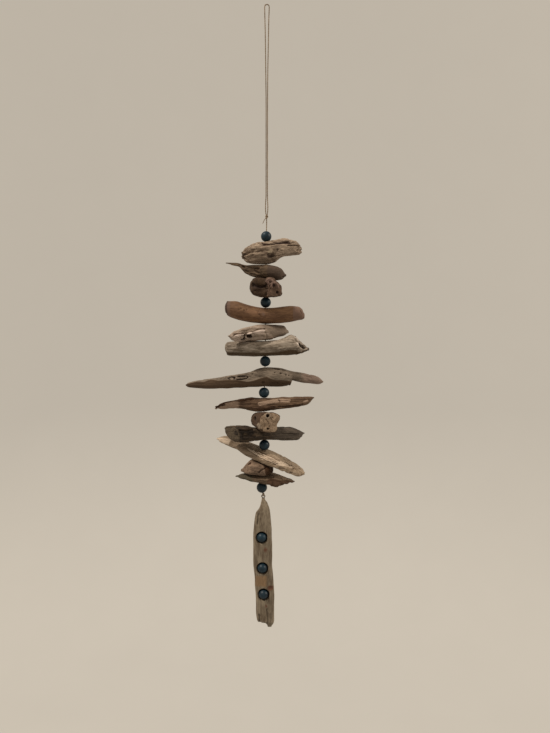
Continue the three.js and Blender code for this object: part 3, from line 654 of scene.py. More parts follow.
sliver = Stick(
    x=0.9, height=-253, yaw=-10, corners=2.35,
    stations=[
        [-39, 9.2, 8.2, 0.6, 0.6], [-33, 8.9, 6.6, 1.4, 1.4], [-27, 8.5, 5.2, 2.6, 2.4],
        [-20, 6.6, -1.6, 5.0, 4.5], [-12, 6.0, -5.4, 7.0, 6.0], [0, 6.0, -7.6, 9.0, 8.0],
        [9, 4.6, -8.8, 8.5, 8.0], [15, 1.8, -8.2, 6.0, 6.0], [19.2, -3.2, -5.2, 1.5, 1.5],
    ],
    marks=[(-17, 18, 9, 14, -1.4), (-10, -14, 9, 12, -1.2)],
)
ridged = 1 - step_up(-6, 6, sliver.along)
sliver.swells(0.35, 6, 21)
sliver.fibres(0.55, 2.2, 14, 22, ridged)
sliver.fibres(0.14, 1.8, 20, 23)
sliver.grooves(
    ([[-26, 18], [-22, 12], [-11, 0], [-6, -14]], 0.4, 24, 0.8, 0.9),
    ([[-18, -22], [-13, -36], [-3, -40]], 0.4, 26, 0.8, 0.8),
    ([[-24, 34], [-12, 24], [-4, 2]], 0.4, 28, 0.7, 0.6),
)
sliver.pits((-6.5, 16, 2.1, 1.0, 1.5), (-9.5, 14, 1.0, 0.8, 1.1), (9, 50, 1.1, 0.8, 0.9),
            (17, -50, 1.0, 1.0, 0.8))
sliver.stain_and_shade(1, 1.1 * step_up(-2, 8, sliver.along))
sliver.build("beaked_sliver_wood", "beaked_sliver",
             weathered("brown_driftwood", (123, 100, 77), (67, 51, 34), (58, 40, 26), (87, 69, 55)))


# ---------------------------------------------------------------------------------------------
# Knotty stub: a short knotted block threaded end-on. A dark ledge hangs over a lobe on the left, and
# on the right its cut end shows loops of pale end grain and one red-brown hole.
# ---------------------------------------------------------------------------------------------

stub = Stick(
    x=0.9, height=-269, yaw=-82, corners=2.7,
    stations=[
        [-19, 4.0, -4.4, 6.0, 7.0], [-13, 7.2, -6.4, 11.0, 11.0], [0, 7.7, -8.2, 15.0, 13.0],
        [10, 7.8, -9.6, 15.8, 13.2], [15, 7.6, -10.2, 12.5, 12.8], [17.5, 7.0, -10.4, 4.5, 12.6],
        [20, 5.6, -10.4, 2.0, 12.0],
    ],
    marks=[(11, 8, 10, 12, -1.0), (9, 32, 12, 14, 2.4), (12, 68, 7, 16, -1.2), (16, 150, 12, 18, -2.2),
           (16, 214, 12, 17, 2.4)],
    right={"torn": 0.7}, domes=(1.0, 0.8),
)
x, z = stub.world[..., 0], stub.world[..., 2]
faces_viewer = stub.placed(stub.local + stub.normal)[..., 1] < stub.world[..., 1] - 0.3
end_grain = step_up(1.2, 2.6, x + 0.5 * noise(stub.world, 2.5, 41)) * faces_viewer
stub.swells(0.9, 5, 42)
stub.swells(0.4, 2.2, 43)
under_ledge = stub.seen_line([[-13, -267.6], [-7, -269.6], [-2, -270.4], [1.8, -268.6]], 0.5, 44)
stub.sink(under_ledge / 1.3, 2.4, 0.6)
stub.sink(stub.seen_line([[1.8, -268.6], [2.4, -274], [1.6, -278.5]], 0.4, 46) / 1.0, 1.0, 0.6)
stub.sink(stub.seen_line([[-1.5, -269.0], [1.6, -266.2], [4.2, -263.4]], 0.2, 48) / 0.6, -0.9, 0.6)
rings = np.hypot(x - 7.2, (z + 272.2) * 1.1) + 0.7 * noise(stub.world, 3.0, 50)
stub.relief += end_grain * 0.28 * np.sin(2 * np.pi * rings / 1.7)
loops = np.minimum(np.abs(np.hypot((x - 5.2) / 2.2, (z + 266.3) / 1.8) - 1) * 1.6,
                   np.abs(np.hypot((x - 9.2) / 3.0, (z + 270.4) / 3.4) - 1) * 3.0 + 9 * (z < -271.4))
stub.relief += end_grain * 1.5 * (1 - step_up(0.25, 1.1, loops))
stub.sink(stub.facing(8.8, -269.0, 0.9, 1.3, 20), 1.1)
stub.sink(stub.facing(11.9, -275.4, 1.3, 1.2), 2.2)
stub.sink(stub.facing(-9.0, -274, 0.9, 0.8), 0.8)
# Painted shade under the overhanging ledge and in the two holes.
stub.darken(under_ledge / 0.9, 1.1)
stub.darken(np.minimum(stub.facing(11.9, -275.4, 1.3, 1.2), stub.facing(8.4, -269.4, 1.1, 1.5, 20)))
stub.darken(stub.facing(5.2, -266.3, 0.9, 0.7), 0.9)
stub.stain_and_shade(1, 1.3 * end_grain)
stub.stain_and_shade(2, 1.2 * end_grain * (1 - step_up(0.5, 1.7, loops)))
stub.build("knotty_stub_wood", "knotty_stub",
           weathered("knotty_driftwood", (77, 56, 35), (43, 26, 14), (39, 22, 15),
                     (109, 84, 66), (136, 108, 93)))


# ---------------------------------------------------------------------------------------------
# Peeled branch: a curved branch, stripped of its bark and worn smooth, terracotta brown. Its left end
# is sawn, and a small healed knot sits below the bead.
# ---------------------------------------------------------------------------------------------

branch = Stick(
    x=0.9, height=-294.5, yaw=-6, corners=2.1,
    stations=[
        [-38.2, 11.0, 1.8, 6.0, 6.0], [-36.6, 13.4, -0.6, 8.0, 8.0], [-30, 13.4, -3.6, 8.7, 8.7],
        [-20, 10.6, -5.9, 9.0, 9.0], [-8, 7.7, -7.8, 9.0, 9.0], [0, 6.6, -8.4, 9.0, 9.0],
        [12, 7.2, -8.0, 9.0, 9.0], [24, 8.3, -6.4, 8.6, 8.6], [31, 8.0, -5.2, 7.6, 7.6],
        [34.8, 5.4, -4.6, 6.0, 6.0], [36.6, 1.6, -3.6, 4.0, 4.0],
    ],
    marks=[(0, 48, 4, 14, -0.8)],
)
knot_away = branch.near(-1, 4, 2.6, 2.8)
branch.swells(0.25, 8, 61)
branch.fibres(0.12, 2.4, 24, 62)
branch.sink(knot_away, -0.2, 0.5)
branch.sink(np.abs(knot_away - 1.1) * 3, 0.15, 0.6)
for along, angle, size in ((-22, 16, 0.6), (-19, 9, 0.5), (-16.5, 19, 0.5), (-24, 6, 0.4)):
    branch.sink(branch.near(along, angle, 1.4 * size, size), 0.7)
branch.grooves(
    ([[-4, 62], [-4.5, 40], [-6.5, 6], [-3, -12]], 0.3, 64, 0.6, 0.45),
    ([[33.5, 22], [35, 2]], 0.2, 66, 0.6, 0.7),
)
branch.stain_and_shade(1, 1.2 - branch.near(-12, 8, 9, 3.0))
branch.stain_and_shade(2, np.maximum(1.3 * step_up(25, 29, branch.along), 0.8 - 0.6 * knot_away))
branch.stain_and_shade(2, 1.2 * step_up(-32.4, -33.6, branch.along))
branch.darken(step_up(-36.4, -34.8, branch.along) * 2, 1.1)
branch.build("peeled_branch_wood", "peeled_branch",
             weathered("peeled_driftwood", (133, 98, 68), (91, 62, 41), (51, 33, 23),
                       (143, 104, 74), (124, 95, 77),
                       streak=0.7, bump=0.12, rough=0.7))


# ---------------------------------------------------------------------------------------------
# Wormed chunk: a bleached chunk, turned so that its left end comes forward. Bright ridges stand along
# its left half, with a bored hole and a notch below them, and its right half is a smooth grey facet.
# ---------------------------------------------------------------------------------------------

chunk = Stick(
    x=0.9, height=-311, yaw=22, corners=2.35,
    stations=[
        [-37, -3.6, -5.4, 1.5, 1.5], [-33, -1.0, -8.4, 4.0, 4.0], [-26, 2.0, -9.3, 6.0, 6.0],
        [-16, 5.2, -8.4, 8.0, 8.0], [-5, 7.2, -8.0, 9.0, 8.5], [3, 7.5, -7.4, 9.0, 8.5],
        [11, 7.3, -4.6, 8.5, 8.5], [18, 7.0, -3.0, 7.0, 7.5], [23, 3.0, -0.5, 3.0, 3.5],
    ],
    marks=[(-19, 30, 12, 13, -1.8), (-18, -18, 3, 16, -2.4), (-23, -55, 3, 16, -2.0), (16, 20, 7, 30, -1.6)],
)
bright = np.minimum(chunk.from_line([[-31, 8], [-29, 4], [-25, 8]], 0.3, 81),
                    chunk.from_line([[-19.5, 2], [-16, 8], [-11, 6], [-5, 8]], 0.3, 83))
signed = chunk.signed
smooth = step_up(-3, 3, chunk.along + 7 - 0.13 * (60 - signed))
chunk.swells(0.5, 5, 84, 1 - 0.6 * smooth)
chunk.fibres(0.5, 2.2, 12, 85, 1 - 0.7 * smooth)
chunk.grooves(
    ([[-33, 20], [-24, 12], [-19, 10], [-12, 20], [-4, 22]], 0.5, 86, 0.9, 1.4),
    ([[-26, -2], [-19, -12]], 0.4, 88, 0.6, 0.8),
)
chunk.sink(bright / 0.9, -1.1, 0.8)
furrow = chunk.from_line([[-32, 22], [-25, 24], [-18, 16], [-12, 18]], 0.4, 92)
chunk.sink(furrow / 0.7, 1.5)
chunk.sink(chunk.from_line([[-23, -4], [-23, -40]], 0.3, 94) / 0.8, 1.4)
chunk.pits((-18, -32, 1.9, 2.0, 3.4), (-23, -62, 1.5, 2.6, 2.6))
chunk.sink(chunk.from_line([[-5.5, 10], [-3, -10], [-1, -40]], 0.3, 90) / 0.8, 0.5)
# Painted shade in the bored hole, in the notch and in the furrow.
chunk.darken(np.minimum(chunk.near(-18, -32, 1.8, 2.1), chunk.near(-23, -56, 1.3, 2.3)), 1.4)
chunk.darken(furrow / 0.5, 0.8)
chunk.stain_and_shade(1, 2.2 - bright / 0.8)
chunk.stain_and_shade(2, smooth)
chunk.build("wormed_chunk_wood", "wormed_chunk",
            weathered("grey_driftwood", (187, 165, 146), (121, 102, 84), (63, 45, 31),
                      (226, 202, 183), (138, 119, 101)))


# ---------------------------------------------------------------------------------------------
# Split log: a stout grey log with a sawn left end. Its right end is broken off on a slope, with pale
# splinters standing round a dark hollow.
# ---------------------------------------------------------------------------------------------

log = Stick(
    x=0.9, height=-325, yaw=-4, corners=2.35,
    stations=[
        [-37.6, 3.0, -4.4, 6.0, 6.0], [-36, 4.8, -7.6, 8.0, 8.0], [-30, 5.6, -8.6, 9.0, 9.0],
        [-15, 5.9, -8.9, 10.0, 9.5], [0, 5.9, -8.5, 10.0, 9.5], [11, 6.6, -8.2, 10.0, 9.5],
        [18, 9.0, -7.9, 9.5, 9.0], [24.5, 11.9, -7.4, 9.0, 9.0], [28, 10.0, -7.0, 8.6, 8.8],
        [33, 5.2, -6.2, 7.5, 8.0], [38, 1.4, -4.2, 5.0, 6.0], [40.4, -1.0, -2.4, 1.5, 2.0],
    ],
    marks=[(34, 24, 4, 22, -3.2), (30, 62, 4, 18, 1.4)], right={"torn": 1.6},
)
broken = step_up(27, 31, log.along + 0.12 * (log.angle - 60) * (log.angle < 200))
log.swells(0.4, 7, 101)
log.fibres(0.35, 2.4, 26, 102)
log.fibres(0.2, 1.3, 10, 103)
log.fibres(1.3, 2.0, 3.5, 104, broken)
log.swells(0.8, 2.4, 105, broken)
log.sink(log.near(35, 28, 3.2, 2.8), 2.4, 0.5)
# Painted shade in the hollow at the broken end.
log.darken(log.near(35, 28, 2.8, 2.4))
log.sink(log.near(33, 44, 1.8, 0.9, -40), 1.6)
log.sink(log.from_line([[29, 52], [33, 40], [37, 30]], 0.3, 106) / 0.6, -1.1)
log.sink(log.near(31, 20, 1.6, 1.5), -0.9, 0.6)
log.stain_and_shade(1, 1.5 - log.near(31, 20, 1.6, 1.6))
log.stain_and_shade(1, 1.5 - log.from_line([[28.5, 56], [33, 40], [37, 30]], 0.3, 106))
# Painted shade: the underside of the log takes the darker second colour.
log.stain_and_shade(2, step_up(-12, -42, log.signed) * 0.9 * (log.angle > 180))
log.build("split_log_wood", "split_log",
          weathered("log_driftwood", (179, 162, 143), (97, 82, 65), (55, 39, 23),
                    (214, 195, 177), (85, 66, 44)))


# ---------------------------------------------------------------------------------------------
# Long spindle: the widest stick, pointed at both ends and humped over the cord. Its lower left is one
# long dark facet, worms have tracked across it below the hump, and a broken lip ends it on the right.
# ---------------------------------------------------------------------------------------------

spindle = Stick(
    x=0.5, height=-353.5, yaw=5, corners=2.35,
    stations=[
        [-73.8, -7.2, -8.8, 1.4, 1.4], [-72.2, -5.8, -9.8, 2.6, 2.6],
        [-68.5, -4.6, -10.4, 3.4, 3.4], [-50, -1.5, -11.2, 5.0, 5.0], [-30, 1.9, -10.6, 6.0, 6.0],
        [-14, 4.8, -9.8, 6.5, 6.5], [-6, 8.0, -9.4, 7.0, 7.0], [0, 9.4, -9.0, 7.0, 7.0],
        [12, 9.1, -9.2, 7.0, 7.0], [24.6, 6.2, -7.6, 6.0, 6.0], [25.8, 5.9, -3.0, 5.4, 5.4],
        [38, 3.8, -5.4, 5.0, 5.0], [46, 2.2, -6.0, 4.6, 4.6], [51.5, 0.2, -6.3, 4.0, 4.0],
        [55.2, -2.4, -5.4, 2.6, 2.6], [56.4, -3.6, -4.6, 1.4, 1.4],
    ],
    marks=[(-27, 40, 9, 14, -0.9), (10, -50, 9, 14, -1.2)],
)
signed = spindle.signed
crest = np.interp(spindle.along, [-73, -66, -57, -51, -44, -34, -26, -16, -8, 1.5, 7.5, 24, 26],
                  [20, 34, 22, 46, 24, 18, 8, -16, -12, 0, -20, -26, -60])
facet = step_up(-8, 6, crest - signed) * (signed > -150) * step_up(27, 25, spindle.along)
spindle.swells(0.3, 7, 121)
spindle.fibres(0.3, 2.0, 24, 122, 1 - 0.7 * facet)
lower_right = step_up(4, 14, spindle.along) * step_up(-20, -50, signed) * step_up(28, 25, spindle.along)
spindle.fibres(0.7, 1.6, 5, 123, lower_right)
spindle.sink(np.abs(crest - signed) / 9, -0.35, 0.9)
# The worm tracks are sunk, and painted shade darkens them.
for track in ([[-33, 22], [-34.5, 40], [-31.5, 54], [-28.5, 42], [-29, 24]],
              [[-26.5, 14], [-22, 12], [-18.5, 14]], [[-25.5, 44], [-22, 42], [-19, 38]],
              [[-17.5, 14], [-16.2, 26], [-17.2, 36]]):
    away = spindle.from_line(track, 0.2, 124)
    spindle.sink(away / 0.6, 1.5)
    spindle.darken(away / 0.55, 1.1)
# The crack is sunk, and painted shade darkens it.
crack = spindle.from_line([[1, 84], [3.5, 76], [13, 58]], 0.3, 126) / 0.7
spindle.sink(crack, 1.0)
spindle.darken(crack, 1.0)
for along, angle, size in ((14.5, 30, 0.9), (19.5, 24, 0.7), (22.5, 22, 0.5), (9, 34, 0.5), (-2, -42, 1.2),
                           (-12, 48, 0.8)):
    spindle.sink(spindle.near(along, angle, 1.3 * size, size), 1.0)
spindle.sink(spindle.from_line([[28, 44], [36, 30], [44, 24]], 0.3, 128) / 0.5, 0.45)
spindle.sink(np.abs(spindle.near(46.5, 4, 7.5, 2.8) - 1) * 4, 0.3)
spindle.stain_and_shade(1, 1.1 * facet)
# Painted shade on the underside below the hump.
spindle.darken(spindle.near(14, -62, 11, 3.0), 0.55)
spindle.stain_and_shade(2, step_up(22, 50, spindle.along))
spindle.build("long_spindle_wood", "long_spindle",
              weathered("tan_driftwood", (140, 123, 105), (74, 61, 47), (40, 24, 14),
                        (90, 69, 49), (150, 125, 108)))


# ---------------------------------------------------------------------------------------------
# Bark blade: a long thin blade of wood that keeps some bark. Its left end forks round a dark crack, a
# dark rim runs along its upper left, and a pale patch is bared right of the cord.
# ---------------------------------------------------------------------------------------------

blade = Stick(
    x=0, height=-379.5, yaw=-7, corners=2.7,
    stations=[
        [-46.5, -2.6, -5.0, 1.5, 1.5], [-40, 1.2, -5.2, 3.0, 3.0], [-30, 3.4, -4.0, 4.5, 4.5],
        [-20, 5.2, -4.6, 5.0, 5.0], [-11, 6.4, -6.6, 5.5, 5.5], [-3, 6.0, -7.0, 5.5, 5.5],
        [5, 6.3, -5.8, 5.5, 5.5], [16, 7.2, -3.9, 5.2, 5.2], [30, 7.6, -2.4, 4.8, 4.8],
        [40, 8.1, 0.0, 3.8, 3.8], [44, 8.2, 2.6, 2.6, 2.6], [47.2, 7.7, 6.6, 0.8, 0.8],
    ],
    marks=[(17, 12, 12, 22, -0.7)], left={"torn": 1.2},
)
bared = np.minimum(blade.from_line([[-3, 14], [4, 22], [13, 28]], 0.5, 152) / 1.8,
                   blade.from_line([[14, 29], [19, 27], [24, 26]], 0.4, 154) / 1.6)
blade.swells(0.35, 6, 141)
blade.fibres(0.4, 2.0, 18, 142)
blade.fibres(0.25, 1.2, 8, 143)
blade.grooves(
    ([[-47, 24], [-43, 22], [-38, 16]], 0.3, 144, 0.9, 1.6),
    ([[-43, 62], [-37, 50], [-25, 40], [-17, 44], [-10, 54]], 0.5, 146, 0.7, 1.2),
)
blade.sink(bared, -0.4, 0.25)
blade.grooves(
    ([[14.5, 36], [15.5, 24], [16, 8]], 0.2, 148, 0.5, 1.2),
    ([[15, -34], [26, -38], [37, -42]], 0.2, 150, 0.7, 1.7),
)
blade.stain_and_shade(1, 1.6 - bared)
blade.stain_and_shade(1, 1.2 - blade.near(40, -4, 3.5, 1.4))
blade.stain_and_shade(2, 1.5 - blade.from_line([[-46, 60], [-37, 52], [-25, 42], [-10, 56]], 0.5, 146) / 1.0)
blade.stain_and_shade(1, 0.75 * step_up(-18, -27, blade.along))
blade.build("bark_blade_wood", "bark_blade",
            weathered("bark_driftwood", (117, 91, 68), (73, 51, 35), (61, 39, 26),
                      (171, 142, 118), (99, 67, 45)))


# ---------------------------------------------------------------------------------------------
# Bored end-grain block: a short block threaded end-on, so that its pale sawn end faces the viewer. A
# round hole is bored in it under the top, small pits open at its foot, and bark clings to its flank.
# ---------------------------------------------------------------------------------------------

block = Stick(
    x=0.1, height=-394.5, yaw=-75, corners=2.8,
    stations=[
        [-16, 4.0, -4.0, 6.0, 6.0], [-11, 6.6, -6.4, 10.0, 8.0], [0, 7.8, -7.4, 12.0, 9.0],
        [12, 8.4, -8.4, 12.2, 9.0], [22, 9.2, -9.0, 12.2, 9.0], [27, 9.2, -8.6, 10.8, 7.8],
    ],
    marks=[(12, 6, 8, 22, -1.8), (24, 146, 10, 14, 1.0), (24, 204, 10, 26, -2.2)], right={"torn": 0.5},
    domes=(1.0, 0.7),
)
x, z = block.world[..., 0], block.world[..., 2]
rings = np.hypot(x - 6.5, z + 391.5) + 0.6 * noise(block.world, 4.0, 161)
face = step_up(0.5, 1.0, block.cap)
block.swells(0.35, 5, 162)
block.fibres(0.5, 2.0, 12, 163, 1 - face)
block.relief += face * 0.12 * np.sin(2 * np.pi * rings / 1.3)
block.sink(np.abs(block.facing(4.0, -387.8, 2.1, 2.0) - 1) * 2.2, -0.5, 0.9)
block.sink(block.facing(4.0, -387.8, 1.45, 1.4), 6.0, 0.2)
block.sink(block.facing(-0.5, -386.6, 0.8, 0.8), 1.4)
block.sink(block.facing(8.1, -389.6, 0.5, 0.5), 0.9)
block.sink(block.facing(4.2, -399.6, 1.1, 0.9), 2.4)
block.sink(block.facing(-1.0, -400.6, 0.9, 0.8), 1.2)
block.sink(block.near(7, 12, 2.6, 1.9), 2.6, 0.5)
for line in ([[2.0, -390.5], [4.5, -394], [5.6, -398]], [[6.0, -389.5], [8.5, -393]],
             [[0.5, -391], [1.0, -397]]):
    block.sink(block.seen_line(line, 0.3, 164) / 0.4, 0.5)
block.stain_and_shade(1, (1 - face) * 1.2)
block.stain_and_shade(2, 1.3 - block.facing(-4.2, -397, 2.6, 3.4))
block.stain_and_shade(2, 1.3 - np.abs(block.facing(4.0, -387.8, 2.1, 2.0) - 1) * 2.6)
block.build("bored_block_wood", "bored_end_grain_block",
            weathered("end_grain_driftwood", (169, 143, 116), (108, 85, 63), (30, 18, 10),
                      (81, 59, 41), (158, 137, 114)))


# ---------------------------------------------------------------------------------------------
# Dark stick: a heavy stick gone nearly black, with grey weathering on its right half. Its left end is
# sawn off on a slant that shows a lighter olive face.
# ---------------------------------------------------------------------------------------------

dark = Stick(
    x=0.3, height=-406.3, yaw=12, corners=2.9,
    stations=[
        [-30.8, 6.6, -6.8, 7.0, 7.0], [-28, 7.2, -8.4, 8.0, 8.0], [-19, 6.9, -8.8, 8.5, 8.5],
        [-8, 4.8, -7.4, 8.5, 8.5], [0, 3.8, -6.4, 8.5, 8.5], [10, 4.9, -6.9, 8.2, 8.2],
        [24, 5.2, -7.8, 7.5, 7.5], [31, 3.4, -8.0, 6.0, 6.0], [36, 1.0, -5.0, 4.0, 4.0],
        [39.5, -0.8, -1.8, 1.2, 1.2],
    ],
    marks=[(-14, 12, 9, 14, -1.2), (20, -10, 12, 12, -0.8)], left={"skew": 5.2, "slant": -2.2, "fade": 6},
)
dark.swells(0.4, 6, 181)
dark.fibres(0.5, 2.2, 14, 182)
dark.fibres(0.3, 1.2, 6, 183)
dark.grooves(
    ([[-28, 30], [-20, 26], [-12, 36]], 0.4, 184, 1.0, 1.2),
    ([[-22, -6], [-10, -8]], 0.4, 186, 0.8, 0.7),
    ([[6, 10], [20, 4], [32, 6]], 0.6, 188, 0.6, 0.8),
)
dark.stain_and_shade(1, 1.2 * step_up(-29.8, -30.5, dark.along))
dark.darken(np.minimum(dark.near(-25, 18, 4.2, 3.6), dark.near(-14.5, 17, 3.6, 3.2)), 1.1)
dark.stain_and_shade(2, 0.62 * step_up(-6, 14, dark.along) + 0.5 * step_up(33, 37, dark.along))
dark.build("dark_stick_wood", "dark_stick",
           weathered("dark_driftwood", (85, 68, 50), (34, 25, 16), (24, 16, 11), (100, 85, 67), (89, 77, 65)))


# ---------------------------------------------------------------------------------------------
# Slanting batten: a split batten that hangs on a slant. Its upper face is bleached cream from the
# pointed left tip to the worm-eaten right end, its back bevel is dark olive and its underside tan.
# ---------------------------------------------------------------------------------------------

batten = Stick(
    x=0.5, height=-430, yaw=-25, corners=3.3, pitch=0.3,
    stations=[
        [-52, 15.4, 14.4, 1.0, 1.0], [-46, 16.8, 12.6, 4.5, 4.5], [-36, 16.0, 10.2, 6.5, 6.5],
        [-26, 14.2, 7.0, 7.0, 7.0], [-20, 12.4, 4.2, 7.4, 7.4], [-10, 9.4, 0.0, 8.0, 8.0],
        [0, 6.4, -3.0, 8.0, 8.0], [10, 3.2, -5.8, 8.0, 8.0], [22, -1.4, -9.0, 7.5, 7.5],
        [32, -5.8, -11.8, 6.5, 6.5], [38, -9.0, -13.0, 4.8, 4.8], [41, -10.8, -12.6, 2.4, 2.4],
    ],
    marks=[(30, 40, 8, 16, -0.8)], right={"torn": 0.6},
)
signed = batten.signed
eaten = step_up(6, 22, batten.along)
batten.swells(0.3, 6, 201)
batten.fibres(0.35, 2.0, 20, 202)
worms = noise(batten.local, (3.4, 1.5, 1.5), 203)
batten.relief -= eaten * 0.9 * step_up(0.25, 0.6, worms)
stripe = np.interp(batten.along, [-14, -11, 1, 14, 23, 29], [36, 34, 26, 28, 36, 42])
half = np.interp(batten.along, [-16, -12, 0, 14, 22, 30], [0.1, 10, 20, 20, 16, 6])
batten.sink(batten.from_line([[-7, 36], [4, 32], [15, 32]], 0.4, 204) / 0.5, 1.2)
for border in ([[-12, 46], [2, 48], [18, 50]], [[-13, 26], [0, 8], [15, 8]]):
    batten.sink(batten.from_line(border, 0.4, 208) / 0.5, 1.3)
# Painted shadow of the dark stick across the batten's left middle.
batten.darken(np.abs(batten.along + 23) / 10.5, 0.32)
batten.sink(batten.from_line([[0, 20], [8, 18], [17, 22]], 0.4, 206) / 0.45, 1.0)
batten.stain_and_shade(1, 1.2 * step_up(1.3, 0.8, np.abs(signed - stripe) / half) * (np.abs(batten.along - 7) < 23))
batten.stain_and_shade(1, 1.2 * step_up(-10, 6, signed) * step_up(72, 60, signed) * step_up(-33, -36, batten.along))
batten.stain_and_shade(2, 1.2 * step_up(64, 78, signed) * step_up(-34, -26, batten.along))
batten.build("slanting_batten_wood", "slanting_batten",
             weathered("bleached_driftwood", (162, 140, 117), (114, 94, 71), (80, 57, 37),
                       (209, 185, 159), (172, 149, 123)))


# ---------------------------------------------------------------------------------------------
# Wedge stub: a short pinkish wedge, cracked aslant across its face and dark down its right side.
# ---------------------------------------------------------------------------------------------

wedge = Stick(
    x=-0.4, height=-440, yaw=-5, corners=2.5, pitch=0.2,
    stations=[
        [-20.5, -1.6, -3.4, 2.0, 2.0], [-16, 3.2, -4.8, 7.0, 6.0], [-11, 7.6, -5.2, 10.0, 8.0],
        [-6, 7.4, -5.2, 11.0, 9.0], [0, 5.6, -5.2, 11.0, 9.0], [6, 3.4, -4.8, 9.0, 8.0],
        [9, 1.0, -3.2, 4.0, 4.0],
    ],
    marks=[(1, 14, 3, 30, -0.9)],
)
wedge.swells(0.5, 5, 221)
wedge.fibres(0.35, 2.0, 9, 222)
wedge.sink(wedge.from_line([[-2.5, -4], [0, 10], [3, 26]], 0.3, 223) / 0.55, 1.3)
wedge.pits((-3, -6, 1.2, 0.8, 0.9), (-12, 44, 1.3, 1.1, 1.0))
wedge.stain_and_shade(1, step_up(1, 5, wedge.along + 0.04 * wedge.signed))
wedge.stain_and_shade(1, 1.3 - wedge.near(-12.5, 46, 2.2, 1.8))
wedge.build("wedge_stub_wood", "wedge_stub",
            weathered("pinkish_driftwood", (154, 127, 104), (89, 70, 54), (65, 42, 30), (71, 45, 23)))


# ---------------------------------------------------------------------------------------------
# Jagged bark: a flake of bark and wood, mossy grey at its left tip, with a paler top and a torn
# red-brown edge on the lower right.
# ---------------------------------------------------------------------------------------------

flake = Stick(
    x=-1.0, height=-450, yaw=-8, corners=2.9, pitch=0.22,
    stations=[
        [-25.3, 1.9, 1.1, 0.8, 0.8], [-20, 3.3, 0.2, 4.0, 4.0], [-12, 4.0, -0.8, 7.0, 7.0],
        [0, 4.4, -2.6, 8.5, 8.5], [8, 4.3, -3.6, 8.5, 8.0], [14, 3.4, -6.0, 7.5, 7.0],
        [18, 2.4, -5.4, 6.0, 6.0], [22, 1.2, -3.6, 5.0, 5.0], [27, 0.2, -2.6, 3.0, 3.0],
        [30.5, -1.2, -1.9, 0.8, 0.8],
    ],
    marks=[(12, 10, 6, 16, -1.2), (19, -30, 2.5, 24, -1.2)],
)
signed = flake.signed
crest = np.interp(flake.along, [-26, -2, 6, 12, 20, 31], [0, 6, 16, 34, 26, 20])
flake.swells(0.4, 5, 241)
flake.fibres(0.4, 1.8, 10, 242)
flake.swells(0.8, 2.4, 243, step_up(5, 11, flake.along) * step_up(20, -10, signed))
flake.sink(np.abs(crest - signed) / 10, -0.4, 0.9)
flake.stain_and_shade(1, step_up(-2, -14, flake.along))
flake.stain_and_shade(2, 1.2 * step_up(3, 9, flake.along) * step_up(4, -8, signed - crest) * (signed > -120))
flake.build("jagged_bark_wood", "jagged_bark",
            weathered("mossy_driftwood", (129, 107, 84), (67, 51, 37), (34, 20, 14),
                      (84, 73, 55), (91, 65, 46)))


# ---------------------------------------------------------------------------------------------
# Pendant slat: the long flat slat at the foot of the mobile. Its grain runs upright, with an ochre
# patch and a reddish knot above the lowest bead, and three round recesses are cut in its front.
# ---------------------------------------------------------------------------------------------

INSET = [(-1.2, -504.8), (-0.3, -533.7), (1.0, -558.4)]
RECESS_RADIUS, RECESS_DEPTH, SLAT_FRONT = 5.5, 6.8, 5.0

slat = Stick(
    x=0.2, height=-468.9, yaw=0, corners=4, hangs=True, spread=1.5,
    stations=[
        [0, 1.6, -1.8, 2.2, 2.2], [4, 3.6, -2.4, 3.2, 3.2], [8.5, 5.4, -3.6, 4.2, 4.2],
        [14, 6.7, -7.2, 4.8, 4.8], [24, 7.5, -8.6, 5.0, 5.0], [36, 8.3, -9.4, 5.0, 5.0],
        [58, 8.7, -9.3, 5.0, 5.0], [82, 10.2, -7.4, 5.0, 5.0], [98, 11.1, -6.5, 5.0, 5.0],
        [110, 11.0, -6.0, 5.0, 5.0], [115.6, 10.9, -4.8, 4.8, 4.8], [116.8, 10.6, 1.8, 4.2, 4.2],
        [120.8, 8.6, 4.8, 2.6, 2.6],
    ],
)
x, z = slat.world[..., 0], slat.world[..., 2]
slat.swells(0.3, 9, 261)
slat.fibres(0.25, 2.2, 30, 262)
slat.fibres(0.15, 1.2, 12, 263)
slat.sink(slat.seen_line([[-6.5, -481], [-4.6, -484], [-5.2, -492]], 0.4, 264) / 0.8, 0.9)
slat.sink(slat.seen_line([[-3, -577], [-2.4, -583], [-1.5, -590]], 0.5, 266) / 0.9, 0.9)
slat.sink(slat.seen_line([[4.5, -572], [5.5, -580], [5.0, -589]], 0.5, 268) / 0.8, 0.7)
slat.sink(slat.facing(7.6, -552, 1.8, 1.5), 0.7, 0.6)
slat.stain_and_shade(1, 1.4 - np.maximum(np.abs(x + 1.5) / 6.0, np.abs(z + 545.6) / 5.4))
slat.stain_and_shade(2, 1.6 - slat.facing(7.6, -552, 2.6, 2.2))
slat.stain_and_shade(2, 0.75 - 0.5 * slat.facing(2.5, -516, 3, 4))
slat.stain_and_shade(2, 0.7 - 0.5 * slat.facing(3.5, -569, 2, 3))
slat.darken(slat.facing(7.6, -578.4, 2.0, 3.0), 0.5)
slat.darken(slat.facing(-4.6, -482, 1.0, 2.4), 0.6)
front = slat.local[..., 1] < 0
for bx, bz in INSET:
    inside = front * (1 - step_up(RECESS_RADIUS - 0.25, RECESS_RADIUS + 0.25, np.hypot(x - bx, z - bz)))
    floor = slat.local[..., 1] + SLAT_FRONT - RECESS_DEPTH
    slat.relief = slat.relief * (1 - inside) + inside * floor
slat.build("pendant_slat_wood", "pendant_slat",
           weathered("slat_driftwood", (143, 127, 105), (96, 80, 62), (53, 36, 25),
                     (141, 112, 81), (106, 71, 52)))


# ---------------------------------------------------------------------------------------------
# Beads in the slat: three 9 mm beads of the same blue lacquer, glued to the floors of their recesses.
# ---------------------------------------------------------------------------------------------

INSET_RADIUS = 4.5


